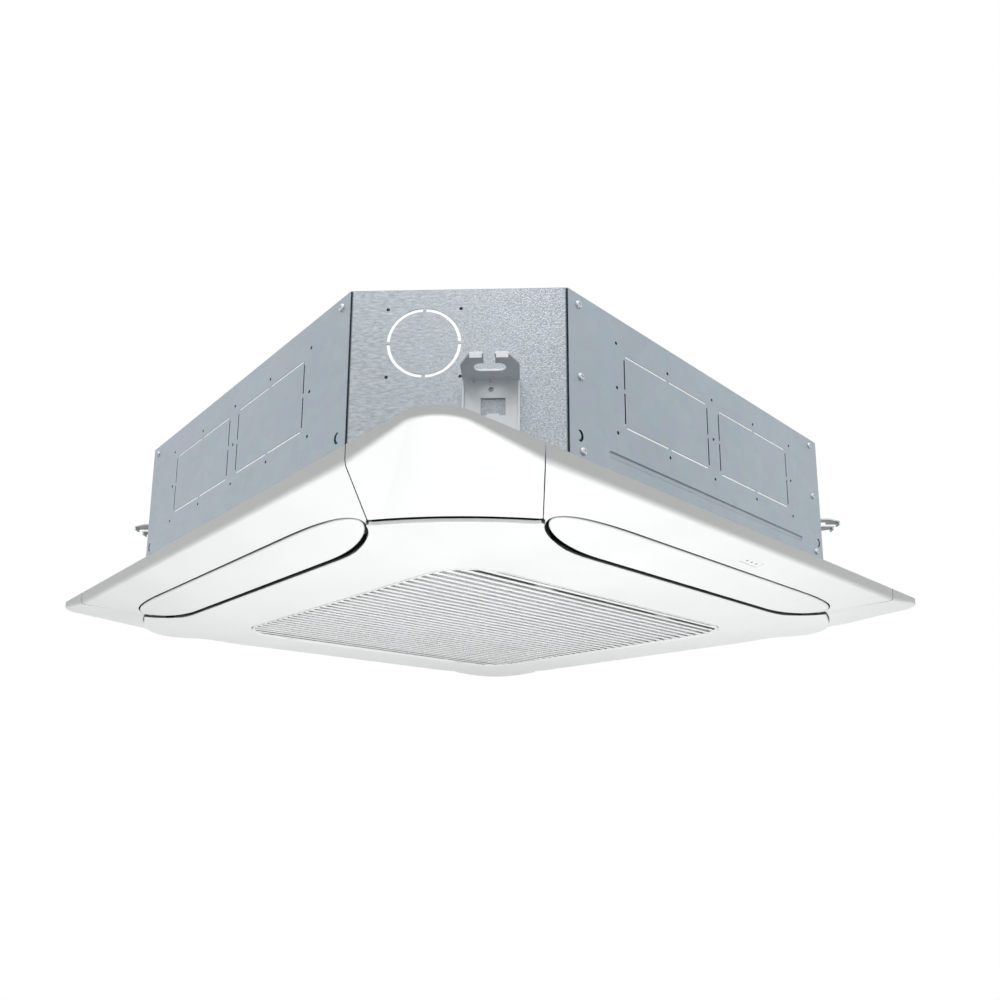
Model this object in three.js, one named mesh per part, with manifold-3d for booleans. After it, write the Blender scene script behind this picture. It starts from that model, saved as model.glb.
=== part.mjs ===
// Ceiling cassette air conditioner: an octagonal steel casing that hangs above a false ceiling,
// and a white square panel below it with four pill-shaped air vanes and a slatted intake grille.
// Millimetres, +Z up. The origin is the centre of the ceiling plane, which the panel's rim meets.
// The front is -Y. The four sides and the four corners are numbered anticlockwise from above.

import * as THREE from 'three';
import { mergeVertices } from 'three/addons/utils/BufferGeometryUtils.js';
import Module from 'manifold-3d';

const wasm = await Module();
wasm.setup();

// ---- driving dimensions ----
const GAP = 0.3;                 // clearance between pieces that touch

const BODY = 420;                // half width of the steel casing
const BODY_CUT = 154;            // leg of its corner chamfers
const BODY_FLOOR = 1;            // underside of the casing
const BODY_TOP = 210;            // top edge of the side panels
const SHEET = 1;                 // thickness of the galvanised sheet

const PANEL = 475;               // half width of the decoration panel
const PANEL_ROUND = 38;          // radius of its corners
const RIM = 17.7;                // depth of the rim where the sloping face starts
const SLOPE = 0.245;             // fall of the sloping face, per millimetre inwards
const SKIN = 2.7;                // wall of the panel mouldings
const FRAME_TOP = -6;            // land that the casing's gasket presses on
const SEAM = 117.5;              // |x - y| along the seams of the corner covers
const COVER_EDGE = 718.4;        // x + y along the inner edge of a corner cover
const COVER_EDGE_Z = -32.5;

const CENTRE = 371;              // half width of the centre panel between the vanes
const CENTRE_BOTTOM = -44.5;
const CENTRE_TOP = -36.4;
const OPENING = 272.8;           // half width of the intake opening
const OPENING_ROUND = 66;
const FLARE = 3;                 // chamfer round the lower edge of the opening

const VANE_MID = 402;            // centre line of a vane, from the middle of the panel
const VANE_HALF = 26;            // half its width
const VANE_LONG = 280;           // half its length
const VANE_END = 72;             // length of its rounded ends
const VANE_THICK = 3.6;
const VANE_PROUD = 1.3;          // how far a vane stands below the sloping face
const PIVOT_OUT = 388;           // vane axis
const PIVOT_Z = -31;
const PIN_R = 2;
const EYE_R = 3.8;               // outside of the eye that holds a vane's pin

const SLAT_PITCH = 15;
const SLAT_COUNT = 36;
const RIB_STEP = 136;            // spacing of the ribs across the slats
const HINGE_Y = 266;             // grille hinge axis
const HINGE_Z = -42.3;
const HINGE_X = 180;

const FAN_R = 235;
const FAN_EYE = 154;
const BLADES = 7;
const COIL = 340;                // half width of the heat exchanger
const COIL_DEEP = 44;
const COIL_CUT = 110;
const COIL_FOOT = 13.3;          // the coil stands in the pan's trough, up to the foam under the top plate
const COIL_TOP = 197.7;

// ---- materials ----
const plastic = (color, roughness = 0.45) => new THREE.MeshStandardMaterial({ color, roughness, metalness: 0 });
const metal = (color, roughness = 0.4) => new THREE.MeshStandardMaterial({ color, roughness, metalness: 0.9 });
const zinc = () => metal(0xb4bec8, 0.38);
const white = () => plastic(0xf4f5f5, 0.35);

// ---- solids from three.js geometry ----
function solid(geometry) {
  geometry.deleteAttribute('normal');
  geometry.deleteAttribute('uv');
  const merged = mergeVertices(geometry, 1e-4);
  return new wasm.Manifold(new wasm.Mesh({
    numProp: 3,
    vertProperties: new Float32Array(merged.attributes.position.array),
    triVerts: new Uint32Array(merged.index.array),
  }));
}

function box(x0, x1, y0, y1, z0, z1) {
  const geometry = new THREE.BoxGeometry(x1 - x0, y1 - y0, z1 - z0);
  return solid(geometry.translate((x0 + x1) / 2, (y0 + y1) / 2, (z0 + z1) / 2));
}

function asShape(outline) {
  return outline instanceof THREE.Shape ? outline : new THREE.Shape(outline.map(([x, y]) => new THREE.Vector2(x, y)));
}

// A flat outline raised from z0 to z1.
function prism(outline, z0, z1, curveSegments = 8) {
  const geometry = new THREE.ExtrudeGeometry(asShape(outline), { depth: z1 - z0, bevelEnabled: false, curveSegments });
  return solid(geometry.translate(0, 0, z0));
}

// The same, cut along Y: the outline is drawn in X and Z.
function prismY(outline, y0, y1, curveSegments = 8) {
  return prism(outline, -y1, -y0, curveSegments).rotate([90, 0, 0]);
}

// An outline drawn in Y and Z, extruded along X.
function prismX(outline, x0, x1, curveSegments = 8) {
  return prism(outline, x0, x1, curveSegments).rotate([90, 0, 90]);
}

function revolve(profile, segments = 40) {
  const points = profile.map(([r, z]) => new THREE.Vector2(r, z));
  return solid(new THREE.LatheGeometry(points, segments).rotateX(Math.PI / 2));
}

function rod(r, z0, z1, segments = 16) {
  return revolve([[0, z0], [r, z0], [r, z1], [0, z1]], segments);
}

// A skin through a list of rings with equal point counts, closed by flat ends.
function loft(rings, flat = (p) => new THREE.Vector2(p[0], p[1])) {
  const count = rings[0].length;
  const index = [];
  for (let k = 0; k + 1 < rings.length; k += 1) {
    for (let i = 0; i < count; i += 1) {
      const a = k * count + i;
      const b = k * count + ((i + 1) % count);
      index.push(a, b, b + count, a, b + count, a + count);
    }
  }
  const cap = THREE.ShapeUtils.triangulateShape(rings[0].map(flat), []);
  const last = (rings.length - 1) * count;
  const turn = THREE.ShapeUtils.area(rings[0].map(flat)) > 0;
  for (const [a, b, c] of cap) {
    if (turn) index.push(a, c, b, last + a, last + b, last + c);
    else index.push(a, b, c, last + a, last + c, last + b);
  }
  const geometry = new THREE.BufferGeometry();
  geometry.setAttribute('position', new THREE.Float32BufferAttribute(rings.flat(2), 3));
  geometry.setIndex(index);
  const body = solid(geometry);
  return body.volume() > 0 ? body : solid(flipped(geometry));
}

function flipped(geometry) {
  const index = geometry.index.array;
  for (let i = 0; i < index.length; i += 3) [index[i], index[i + 1]] = [index[i + 1], index[i]];
  return geometry;
}

function unite(parts) {
  return parts.reduce((sum, part) => sum.add(part));
}

function without(body, cutters) {
  return cutters.length ? body.subtract(unite(cutters)) : body;
}

function mesh(name, body, material) {
  const { vertProperties, triVerts } = body.getMesh();
  const geometry = new THREE.BufferGeometry();
  geometry.setAttribute('position', new THREE.BufferAttribute(new Float32Array(vertProperties), 3));
  geometry.setIndex(new THREE.BufferAttribute(new Uint32Array(triVerts), 1));
  geometry.computeVertexNormals();
  const piece = new THREE.Mesh(geometry, material);
  piece.name = name;
  return piece;
}

// ---- outlines ----
function octagon(inset, half = BODY, cut = BODY_CUT) {
  const h = half - inset;
  const e = h - (cut - inset * (2 - Math.SQRT2));
  return [[h, -e], [h, e], [e, h], [-e, h], [-h, e], [-h, -e], [-e, -h], [e, -h]];
}

// One quarter turn of arc, from angle `start` degrees, about (x, y).
function quarter(x, y, r, start, steps) {
  const points = [];
  for (let i = 0; i <= steps; i += 1) {
    const angle = THREE.MathUtils.degToRad(start + (90 * i) / steps);
    points.push([x + r * Math.cos(angle), y + r * Math.sin(angle)]);
  }
  return points;
}

function roundedSquare(half, r, steps = 4) {
  const c = half - r;
  return [...quarter(c, c, r, 0, steps), ...quarter(-c, c, r, 90, steps),
    ...quarter(-c, -c, r, 180, steps), ...quarter(c, -c, r, 270, steps)];
}

function ring3(outline, z) {
  return outline.map(([x, y]) => [x, y, z]);
}

// A vane's outline: straight sides and half-elliptic ends, along X.
function pill(halfLong, halfWide, end, y = 0, steps = 6) {
  const points = [];
  for (const side of [1, -1]) {
    for (let i = 0; i <= steps; i += 1) {
      const angle = (Math.PI * i) / steps - Math.PI / 2;
      points.push([side * (halfLong - end + end * Math.cos(angle)), y + side * halfWide * Math.sin(angle)]);
    }
  }
  return points;
}

// Height of the sloping face of the panel at a distance from its middle.
function faceZ(out) {
  return -RIM - SLOPE * (PANEL - 5 - out);
}

// ---- sheet metal ----
// A bent sheet: a path of its outer face, thickened to its inner side, standing from z0 to z1.
function bentSheet(path, thickness, z0, z1) {
  const inner = path.map((p, i) => {
    const before = normal(path[Math.max(i - 1, 0)], path[Math.max(i, 1)]);
    const after = normal(path[Math.min(i, path.length - 2)], path[Math.min(i + 1, path.length - 1)]);
    const scale = thickness / (1 + before[0] * after[0] + before[1] * after[1]);
    return [p[0] + scale * (before[0] + after[0]), p[1] + scale * (before[1] + after[1])];
  });
  return prism([...path, ...inner.reverse()], z0, z1);
}

// Unit vector to the left of the way from p to q.
function normal(p, q) {
  const length = Math.hypot(q[0] - p[0], q[1] - p[1]);
  return [(p[1] - q[1]) / length, (q[0] - p[0]) / length];
}

// Slits round a rectangular knockout, with a bridge in the middle of each side.
function rectKnockout(x0, x1, z0, z1) {
  const slit = 3;
  const bridge = 5;
  const cuts = [];
  for (const [a, b] of [[x0 + bridge, (x0 + x1) / 2 - bridge], [(x0 + x1) / 2 + bridge, x1 - bridge]]) {
    for (const z of [z0, z1]) cuts.push(box(a, b, -BODY - 1, -BODY + 3, z - slit / 2, z + slit / 2));
  }
  for (const [a, b] of [[z0 + bridge, (z0 + z1) / 2 - bridge], [(z0 + z1) / 2 + bridge, z1 - bridge]]) {
    for (const x of [x0, x1]) cuts.push(box(x - slit / 2, x + slit / 2, -BODY - 1, -BODY + 3, a, b));
  }
  return cuts;
}

function sidePanel(flip, bead) {
  const reach = BODY - BODY_CUT - 0.5;
  const flange = reach - 24;
  const face = box(-reach, reach, -BODY, -BODY + SHEET, BODY_FLOOR, BODY_TOP);
  const lips = [BODY_FLOOR, BODY_TOP - SHEET].map((z) => box(-flange, flange, -BODY, -BODY + 12, z, z + SHEET));
  const knockouts = [[-178, -20], [5, 171]].flatMap(([a, b]) => {
    const [x0, x1] = flip ? [-b, -a] : [a, b];
    return rectKnockout(x0, x1, 90, 171);
  });
  const notches = [-250, 250].map((x) => prismY(quarter(x, 58, 5, -45, 3).concat(quarter(x, 58, 5, 45, 3)),
    -BODY - 1, -BODY + 3));
  const panel = without(unite([face, ...lips]), [...knockouts, ...notches]);
  return bead ? panel.subtract(beadGroove()).add(beadBack()) : panel;
}

// A long stiffening bead pressed inwards near the foot of a side panel.
const BEAD_Z = 53;
function beadShape(halfWide) {
  return pill(207, halfWide, halfWide, 0, 3).map(([x, y]) => [x, y + BEAD_Z]);
}
function beadGroove() {
  return prismY(beadShape(3), -BODY - 1, -BODY + 1.2);
}
function beadBack() {
  return prismY(beadShape(4), -BODY + 0.9, -BODY + 2.2).subtract(prismY(beadShape(3), -BODY, -BODY + 1.2));
}

const CORNER_OUT = (2 * BODY - BODY_CUT) / Math.SQRT2;   // from the middle to a corner panel's face

// The corner panel faces -Y here, and its group turns it to its corner.
function cornerPanel(knockout) {
  const bend = (BODY - SHEET - GAP) * Math.SQRT2 - CORNER_OUT;
  const tail = 14;
  const path = [[-bend - tail, -CORNER_OUT + tail], [-bend, -CORNER_OUT],
    [bend, -CORNER_OUT], [bend + tail, -CORNER_OUT + tail]];
  const panel = bentSheet(path, SHEET, BODY_FLOOR, BODY_TOP);
  return knockout ? without(panel, roundKnockout(-34, 153, 35.5)) : panel;
}

// Four arc slits round a fresh-air knockout, with a narrow bridge between each two.
function roundKnockout(x, z, r) {
  const halfSlit = 1.5;
  const halfBridge = 3;
  const cuts = [];
  for (const turn of [0, 90, 180, 270]) {
    const from = turn + halfBridge;
    const to = turn + 90 - halfBridge;
    const outer = arc(x, z, r + halfSlit, from, to);
    const inner = arc(x, z, r - halfSlit, to, from);
    cuts.push(prismY([...outer, ...inner], -CORNER_OUT - 1, -CORNER_OUT + 3));
  }
  return cuts;
}

function arc(x, y, r, from, to, steps = 6) {
  const points = [];
  for (let i = 0; i <= steps; i += 1) {
    const angle = THREE.MathUtils.degToRad(from + ((to - from) * i) / steps);
    points.push([x + r * Math.cos(angle), y + r * Math.sin(angle)]);
  }
  return points;
}

// Hanger bracket: a strap down the corner panel, and a flange with a T-slot for the hanging rod.
const FLANGE_Z = 113;
const BRACKET_X = 33;
const FLANGE_OUT = 50;
function hangerBracket(side) {
  const back = -CORNER_OUT - GAP;
  const t = 2;
  const half = 28;
  const strap = box(-half, half, back - t, back, 18, FLANGE_Z);
  const lips = [-half, half - t].map((x) => box(x, x + t, back - 7, back - t, 18, FLANGE_Z - 6));
  const outline = [[-half, back], [-half, back - 30], [-18, back - FLANGE_OUT], [18, back - FLANGE_OUT],
    [half, back - 30], [half, back]];
  const flange = prism(outline, FLANGE_Z - t, FLANGE_Z);
  const fingerLips = [-18, 6.5].map((x) => box(x, x + 11.5, back - FLANGE_OUT, back - FLANGE_OUT + t,
    FLANGE_Z - 9, FLANGE_Z - t / 2));
  const entry = box(-5.5, 5.5, back - FLANGE_OUT - 2, back - 30, FLANGE_Z - 12, FLANGE_Z + 2);
  const slot = prism(pill(15.5, 7, 7, back - 26, 4), FLANGE_Z - 6, FLANGE_Z + 2);
  const window = box(-10, 14, back - 8, back + 1, 74, 92);
  const rivet = prismY(arc(0, 101, 3, 0, 360, 6).slice(1), back - 8, back + 1);
  const body = without(unite([strap, ...lips, flange, ...fingerLips]), [entry, slot, window, rivet]);
  const tab = box(-4, 8, back - t, back, 73, 82);
  return body.add(tab).translate([side * BRACKET_X, 0, 0]);
}

function topPlate() {
  const z = BODY_TOP + GAP;
  const plate = prism(octagon(0.5), z, z + SHEET);
  const bead = 1.4;
  const ribs = [];
  for (const turn of [0, 90, 180, 270]) {
    ribs.push(box(-7, 7, 130, 380, z + SHEET / 2, z + SHEET + bead).rotate([0, 0, turn]));
    ribs.push(box(-7, 7, 130, 430, z + SHEET / 2, z + SHEET + bead).rotate([0, 0, turn + 45]));
  }
  const ring = revolve([[100, z + SHEET / 2], [114, z + SHEET / 2], [111, z + SHEET + bead], [103, z + SHEET + bead],
    [100, z + SHEET / 2]], 24);
  return unite([plate, ring, ...ribs]);
}

// ---- inside the casing ----
function foamLiner() {
  const shell = prism(octagon(3), 2.3, BODY_TOP - SHEET - GAP);
  const hollow = prism(octagon(17), 1, 198);
  return shell.subtract(hollow).subtract(rod(80, 190, 215, 32)).subtract(pipeHole(72));
}

// The space that the pipes cross at the far corner.
function pipeHole(half) {
  return box(-half, half, -CORNER_OUT - 2, -CORNER_OUT + 30, 40, 190).rotate([0, 0, 135]);
}

function eachSide(body) {
  return [0, 90, 180, 270].map((turn) => body.rotate([0, 0, turn]));
}

// The air comes down between the pan and the foam liner, through a notch in each side of the pan.
const AIR_OUTLET = [[-250, -430], [250, -430], [250, -374], [228, -352], [-228, -352], [-250, -374]];
function drainPan() {
  const pan = prism(octagon(17.6), 3, 40);
  const middle = prism(roundedSquare(240, 60), 0, 50);
  const troughInside = prism(octagon(COIL_DEEP + 12, COIL + 6, COIL_CUT), 0, 60);
  const trough = prism(octagon(0, COIL + 6, COIL_CUT), 13, 50).subtract(troughInside);
  return without(pan, [...eachSide(prism(AIR_OUTLET, 0, 50)), middle, trough]);
}

function bellMouth() {
  const plate = prism(roundedSquare(256, 62), 0.7, 2.7).subtract(rod(199, 0, 5, 28));
  const mouth = revolve([[204, 0.7], [204, 2.7], [176, 6], [158, 18], [149, 40], [147, 40], [156, 16.5],
    [174.5, 4.2], [204, 0.7]], 28);
  return plate.add(mouth);
}

function heatExchanger() {
  const outer = prism(octagon(0, COIL, COIL_CUT), COIL_FOOT, COIL_TOP);
  const inner = prism(octagon(COIL_DEEP, COIL, COIL_CUT), 10, 200);
  const gap = box(190, 400, 190, 400, 0, 220);
  return outer.subtract(inner).subtract(gap);
}

// End plate of the coil, across the cut end that faces the pipe corner, with the tubes' return bends.
function coilEndPlate() {
  const x = 190 + GAP;
  const plate = box(x, x + 1.5, COIL - COIL_DEEP - 4, COIL + 4, COIL_FOOT, COIL_TOP);
  const bends = [];
  for (let k = 0; k < 4; k += 1) bends.push(returnBend(x + 1, COIL - COIL_DEEP / 2, 38 + k * 42));
  return unite([plate, ...bends]);
}

function returnBend(x, y, z) {
  const curve = new THREE.CatmullRomCurve3([[0, -11, 0], [5, -11, 0], [12, -7, 0], [14.5, 0, 0], [12, 7, 0], [5, 11, 0],
    [0, 11, 0]].map(([a, b, c]) => new THREE.Vector3(a, b, c)));
  const section = asShape(arc(0, 0, 3.5, 0, 360, 6).slice(1));
  const tube = new THREE.ExtrudeGeometry(section, { steps: 6, extrudePath: curve, bevelEnabled: false });
  return solid(tube).translate([x, y, z]);
}

function fanMotor() {
  return revolve([[0, 120], [20, 120], [50, 124], [55, 130], [55, 192], [72, 196], [72, 208], [60, BODY_TOP],
    [0, BODY_TOP]], 24);
}

function turboFan() {
  const hub = revolve([[4.3, 92], [14, 92], [14, 98], [60, 102], [68, 108], [86, 158], [100, 167], [FAN_R, 169],
    [FAN_R, 171.5], [98, 169.8], [84, 160.5], [65.5, 110], [58, 104.5], [14, 101], [14, 112], [4.3, 112], [4.3, 92]], 28);
  const shroud = revolve([[FAN_EYE, 33], [FAN_EYE + 3, 33], [161, 44], [180, 57], [FAN_R, 72], [FAN_R, 74.5],
    [178.5, 59.8], [158.5, 46], [FAN_EYE, 35], [FAN_EYE, 33]], 28);
  const envelope = revolve([[146, 58], [160, 46.5], [179, 58.5], [FAN_R - 1, 73.5], [FAN_R - 1, 170], [146, 168.5],
    [146, 58]], 28);
  const blades = [];
  for (let k = 0; k < BLADES; k += 1) blades.push(prism(bladeOutline(), 40, 175).rotate([0, 0, (360 * k) / BLADES]));
  return unite([hub, shroud, unite(blades).intersect(envelope)]);
}

// A backward-curved blade: a spiral that thins towards its tail.
function bladeOutline(steps = 5) {
  const front = [];
  const back = [];
  for (let i = 0; i <= steps; i += 1) {
    const t = i / steps;
    const r = THREE.MathUtils.lerp(144, FAN_R, t);
    const angle = -0.62 * t ** 0.85;
    const half = (1.2 + 4.2 * Math.sqrt(t) * (1 - t)) / r;
    front.push([r * Math.cos(angle + half), r * Math.sin(angle + half)]);
    back.unshift([r * Math.cos(angle - half), r * Math.sin(angle - half)]);
  }
  return [...front, ...back];
}

function fanNut() {
  const hexagon = arc(0, 0, 8, 0, 360, 6).slice(1);
  return prism(hexagon, 84, 92 - GAP).subtract(rod(4.3, 80, 95));
}

// ---- control box under the bell mouth ----
const BOX_TOP = 0.4;
const BOX_LOW = -25;
function controlBox() {
  const tray = box(-150, 150, 178, 246, BOX_LOW, BOX_TOP);
  return tray.subtract(box(-148.8, 148.8, 179.2, 244.8, BOX_LOW - 1, BOX_TOP - 1.2));
}
function controlBoxCover() {
  const plate = box(-152, 152, 176, 248, BOX_LOW - GAP - 1, BOX_LOW - GAP);
  const ribs = [-90, 0, 90].map((x) => box(x - 4, x + 4, 184, 240, BOX_LOW - GAP - 1.8, BOX_LOW - GAP - 0.8));
  return unite([plate, ...ribs]);
}
function circuitBoard() {
  const board = box(-140, 60, 184, 240, -8, -6.4);
  const blocks = [[-120, -92, 190, 215], [-70, -50, 195, 235], [-20, 14, 188, 204], [28, 48, 210, 234]];
  return unite([board, ...blocks.map(([x0, x1, y0, y1]) => box(x0, x1, y0, y1, -20, -7))]);
}
function terminalBlock() {
  const base = box(76, 140, 196, 226, -16, -4);
  const walls = [];
  for (let x = 76; x <= 138; x += 10.4) walls.push(box(x, x + 1.6, 196, 226, -22, -15));
  return unite([base, ...walls]);
}

// ---- drain and pipes at the far corner: modelled facing -Y, turned by their group ----
function drainPump() {
  const motor = rod(22, 100, 150, 14);
  const neck = rod(12, 60, 101, 12);
  const foot = rod(24, 40 + GAP, 62, 14);
  const arm = box(-34, 62, -14, 8, 128, 132);
  return unite([motor, neck, foot, arm]).translate([-62, -430, 0]);
}
function floatSwitch() {
  const stem = rod(3, 46, 110, 8);
  const float = rod(11, 48, 66, 12);
  const head = box(-9, 9, -9, 9, 104, 128 - GAP);
  return unite([stem, float, head]).translate([-12, -436, 0]);
}
function stub(r, bore, length, x, z) {
  const tube = rod(r, 0, length, 14).subtract(rod(bore, length - 30, length + 1, 14));
  return tube.rotate([90, 0, 0]).translate([x, -CORNER_OUT + 26, z]);
}
function flareNut(across, hole, x, z) {
  const hexagon = arc(0, 0, across, 0, 360, 6).slice(1);
  const nut = prism(hexagon, 0, 22).subtract(rod(hole, -1, 30, 14));
  return nut.rotate([90, 0, 0]).translate([x, -CORNER_OUT - 30, z]);
}
const PIPES = { drain: [-46, 150], liquid: [8, 140], gas: [44, 140] };
function pipePlate() {
  const y = -CORNER_OUT - GAP;
  const holes = [[PIPES.drain, 17], [PIPES.liquid, 6], [PIPES.gas, 9]].map(([[x, z], r]) =>
    prismY(arc(x, z, r, 0, 360, 14).slice(1), y - 5, y + 5));
  return without(box(-72, 72, y - 1.2, y, 118, 182), holes);
}

// ---- decoration panel ----
function panelBlank() {
  const rows = [[0, 0], [0, -RIM + 5], [1.4, -RIM + 1.8], [5, -RIM]];
  const rings = rows.map(([inset, z]) => ring3(roundedSquare(PANEL - inset, PANEL_ROUND - inset), z));
  const low = 371;
  rings.push(ring3(roundedSquare(low, 6), faceZ(low)));
  return loft(rings);
}

// The corner region between two seams, outside the cover's inner edge; `grow` widens it.
function cornerRegion(grow, edge = COVER_EDGE) {
  const s = SEAM + grow;
  const far = 520;
  return [[(edge + s) / 2, (edge - s) / 2], [far, far - s], [far, far], [far - s, far], [(edge - s) / 2, (edge + s) / 2]];
}

function eachCorner(outline, z0, z1) {
  return eachSide(prism(outline, z0, z1));
}

// The air duct over a vane: it leans outwards from the casing's outlet to the vane.
function ductCut() {
  const top = { y: -377, wide: 22, long: 262, end: 40 };
  const foot = { y: -400.3, wide: 29.3, long: 284, end: 76 };
  const rings = [[top, FRAME_TOP + 2], [top, FRAME_TOP], [foot, -24], [foot, -60]];
  return loft(rings.map(([p, z]) => ring3(pill(p.long, p.wide, p.end, p.y), z)));
}

// Webs across the two ends of a duct, which carry the vane's pins.
const WEB_X = 232;
const WEB_THICK = 3;
function ductWebs() {
  const outline = [[-352, FRAME_TOP], [-352, -18], [-PIVOT_OUT + EYE_R, -20], [-PIVOT_OUT + EYE_R, PIVOT_Z],
    [-PIVOT_OUT - EYE_R, PIVOT_Z], [-PIVOT_OUT - EYE_R, -20], [-418, -17], [-418, FRAME_TOP]];
  const web = prismX(outline, WEB_X, WEB_X + WEB_THICK);
  const eye = prismX(arc(-PIVOT_OUT, PIVOT_Z, EYE_R, 0, 360, 12).slice(1), WEB_X, WEB_X + WEB_THICK);
  const bore = prismX(arc(-PIVOT_OUT, PIVOT_Z, PIN_R + GAP, 0, 360, 8).slice(1), WEB_X - 5, WEB_X + WEB_THICK + 5);
  const one = web.add(eye).subtract(bore);
  return [one, one.mirror([1, 0, 0])];
}

// Room for a vane's rounded ends, which swing up behind the centre panel.
function tipRelief() {
  const room = prismX(arc(-PIVOT_OUT, PIVOT_Z, 13, 0, 360, 16).slice(1), 243, VANE_LONG + 1.5)
    .intersect(box(0, 300, -420, -360, CENTRE_BOTTOM + 1.6, 0));
  return unite([room, room.mirror([1, 0, 0])]);
}

function frameMoulding() {
  const blank = panelBlank().subtract(prism(roundedSquare(437, 20), FRAME_TOP, 5));
  const rimSpace = prism(roundedSquare(PANEL - 3, PANEL_ROUND - 3), -40, 5).subtract(prism(roundedSquare(436, 20), -50, 10));
  const corners = eachCorner(cornerRegion(0), -60, -10);
  const land = prism(roundedSquare(446, 20), -70, 10);
  const rimCorners = eachCorner(cornerRegion(0), -60, 5).map((corner) => corner.subtract(land));
  const pocket = rimSpace.intersect(panelBlank().translate([0, 0, SKIN])).subtract(unite(eachCorner(cornerRegion(4), -80, 20)));
  const intake = prism(roundedSquare(330, 70), -60, 10);
  const seat = prism(centreOutline(0.5), -60, CENTRE_TOP + GAP);
  const ducts = eachSide(ductCut());
  const window = box(-4, 34, -446, -436, -60, 0);
  const body = without(blank, [...corners, ...rimCorners, pocket, intake, seat, ...ducts, window,
    ...eachSide(tipRelief())]);
  return unite([body, ...ductWebs().flatMap(eachSide)]);
}

// It is made in two: an inner ring, which carries the inner ends of the webs, clips into the outer frame.
// The air ducts and the corner covers hide the seam between them.
const RING = 396;
const RING_ROUND = 100;
function panelFrame() {
  return frameMoulding().subtract(prism(roundedSquare(RING + GAP, RING_ROUND + GAP), -60, 10));
}
function ductRing() {
  return frameMoulding().intersect(prism(roundedSquare(RING, RING_ROUND), -60, 10));
}

// The centre panel's outline: between the vanes it follows their ducts, and its corners meet the covers.
function centreOutline(grow = 0) {
  const arm = [(COVER_EDGE + SEAM) / 2 - 0.6 + grow, (COVER_EDGE - SEAM) / 2 - 0.6 + grow];
  const bite = [];
  const steps = 6;
  for (let i = 0; i <= steps; i += 1) {
    const angle = (Math.PI / 2) * (1 - i / steps);
    bite.push([CENTRE + grow + (VANE_MID - CENTRE) * (1 - Math.sin(angle)), 208 + 76 * Math.cos(angle)]);
  }
  const octant = [...bite, arm];
  const mirrored = octant.map(([x, y]) => [y, x]).reverse();
  const corner = [...octant, ...mirrored];
  const outline = [];
  for (let k = 0; k < 4; k += 1) {
    const turn = (k * Math.PI) / 2;
    for (const [x, y] of corner) outline.push([x * Math.cos(turn) - y * Math.sin(turn), x * Math.sin(turn) + y * Math.cos(turn)]);
  }
  return outline;
}

function centrePanel() {
  const bevel = { depth: 12, bevelThickness: 2.6, bevelSize: 5, bevelOffset: -5, bevelSegments: 1 };
  const blank = solid(new THREE.ExtrudeGeometry(asShape(centreOutline()), bevel));
  const plate = blank.translate([0, 0, CENTRE_BOTTOM + 2.6]).intersect(box(-500, 500, -500, 500, -60, CENTRE_TOP));
  const opening = prism(roundedSquare(OPENING, OPENING_ROUND, 6), -60, 0);
  const flare = [[0, CENTRE_BOTTOM + FLARE], [FLARE + 0.3, CENTRE_BOTTOM - 0.3]].map(([grow, z]) =>
    ring3(roundedSquare(OPENING + grow, OPENING_ROUND + grow, 6), z));
  const well = prism(roundedSquare(CENTRE - 6, 80), CENTRE_BOTTOM + 3, 0).subtract(prism(roundedSquare(OPENING + 4, OPENING_ROUND), -60, 10));
  const knuckles = [-HINGE_X, HINGE_X].map((x) => box(x - 4, x + 4, HINGE_Y - 2.3, OPENING + 2, HINGE_Z - 2.1, HINGE_Z + 2.1));
  const bore = prismX(arc(HINGE_Y, HINGE_Z, 1.1, 0, 360, 10).slice(1), -200, 200);
  return unite([without(plate, [opening, loft(flare), well, ...eachSide(tipRelief())]), ...knuckles]).subtract(bore);
}

// Corner cover at the +X +Y corner: one moulded skin from the rim to its inner edge.
function cornerCover() {
  const steps = 6;
  const edge = COVER_EDGE;
  const s = SEAM - 0.5;
  const columns = [];
  for (let j = -2; j <= steps + 2; j += 1) columns.push(coverSection(j, steps, s, edge));
  const along = (p) => new THREE.Vector2(p[0] + p[1], p[2]);
  return loft(columns, along);
}

function coverSection(j, steps, s, edge) {
  const t = (j + 2) / (steps + 4);
  const at = (inset, z) => {
    const c = PANEL - PANEL_ROUND;
    const r = PANEL_ROUND - inset;
    const h = PANEL - inset;
    if (j === -2) return [h, h - s, z];
    if (j === steps + 2) return [h - s, h, z];
    if (j === -1) return [h, THREE.MathUtils.lerp(h - s, c, 0.5), z];
    if (j === steps + 1) return [THREE.MathUtils.lerp(h - s, c, 0.5), h, z];
    const angle = (Math.PI / 2) * (j / steps);
    return [c + r * Math.cos(angle), c + r * Math.sin(angle), z];
  };
  const inner = (z, shift) => [(edge + s) / 2 - s * t + shift, (edge - s) / 2 + s * t + shift, z];
  return [at(0, 0), at(0, -RIM + 5), at(1.4, -RIM + 1.8), at(5, -RIM), inner(COVER_EDGE_Z, 0),
    inner(COVER_EDGE_Z + SKIN, 0), at(6, -RIM + SKIN), at(3.4, -RIM + 5), at(SKIN, 0)];
}

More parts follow.
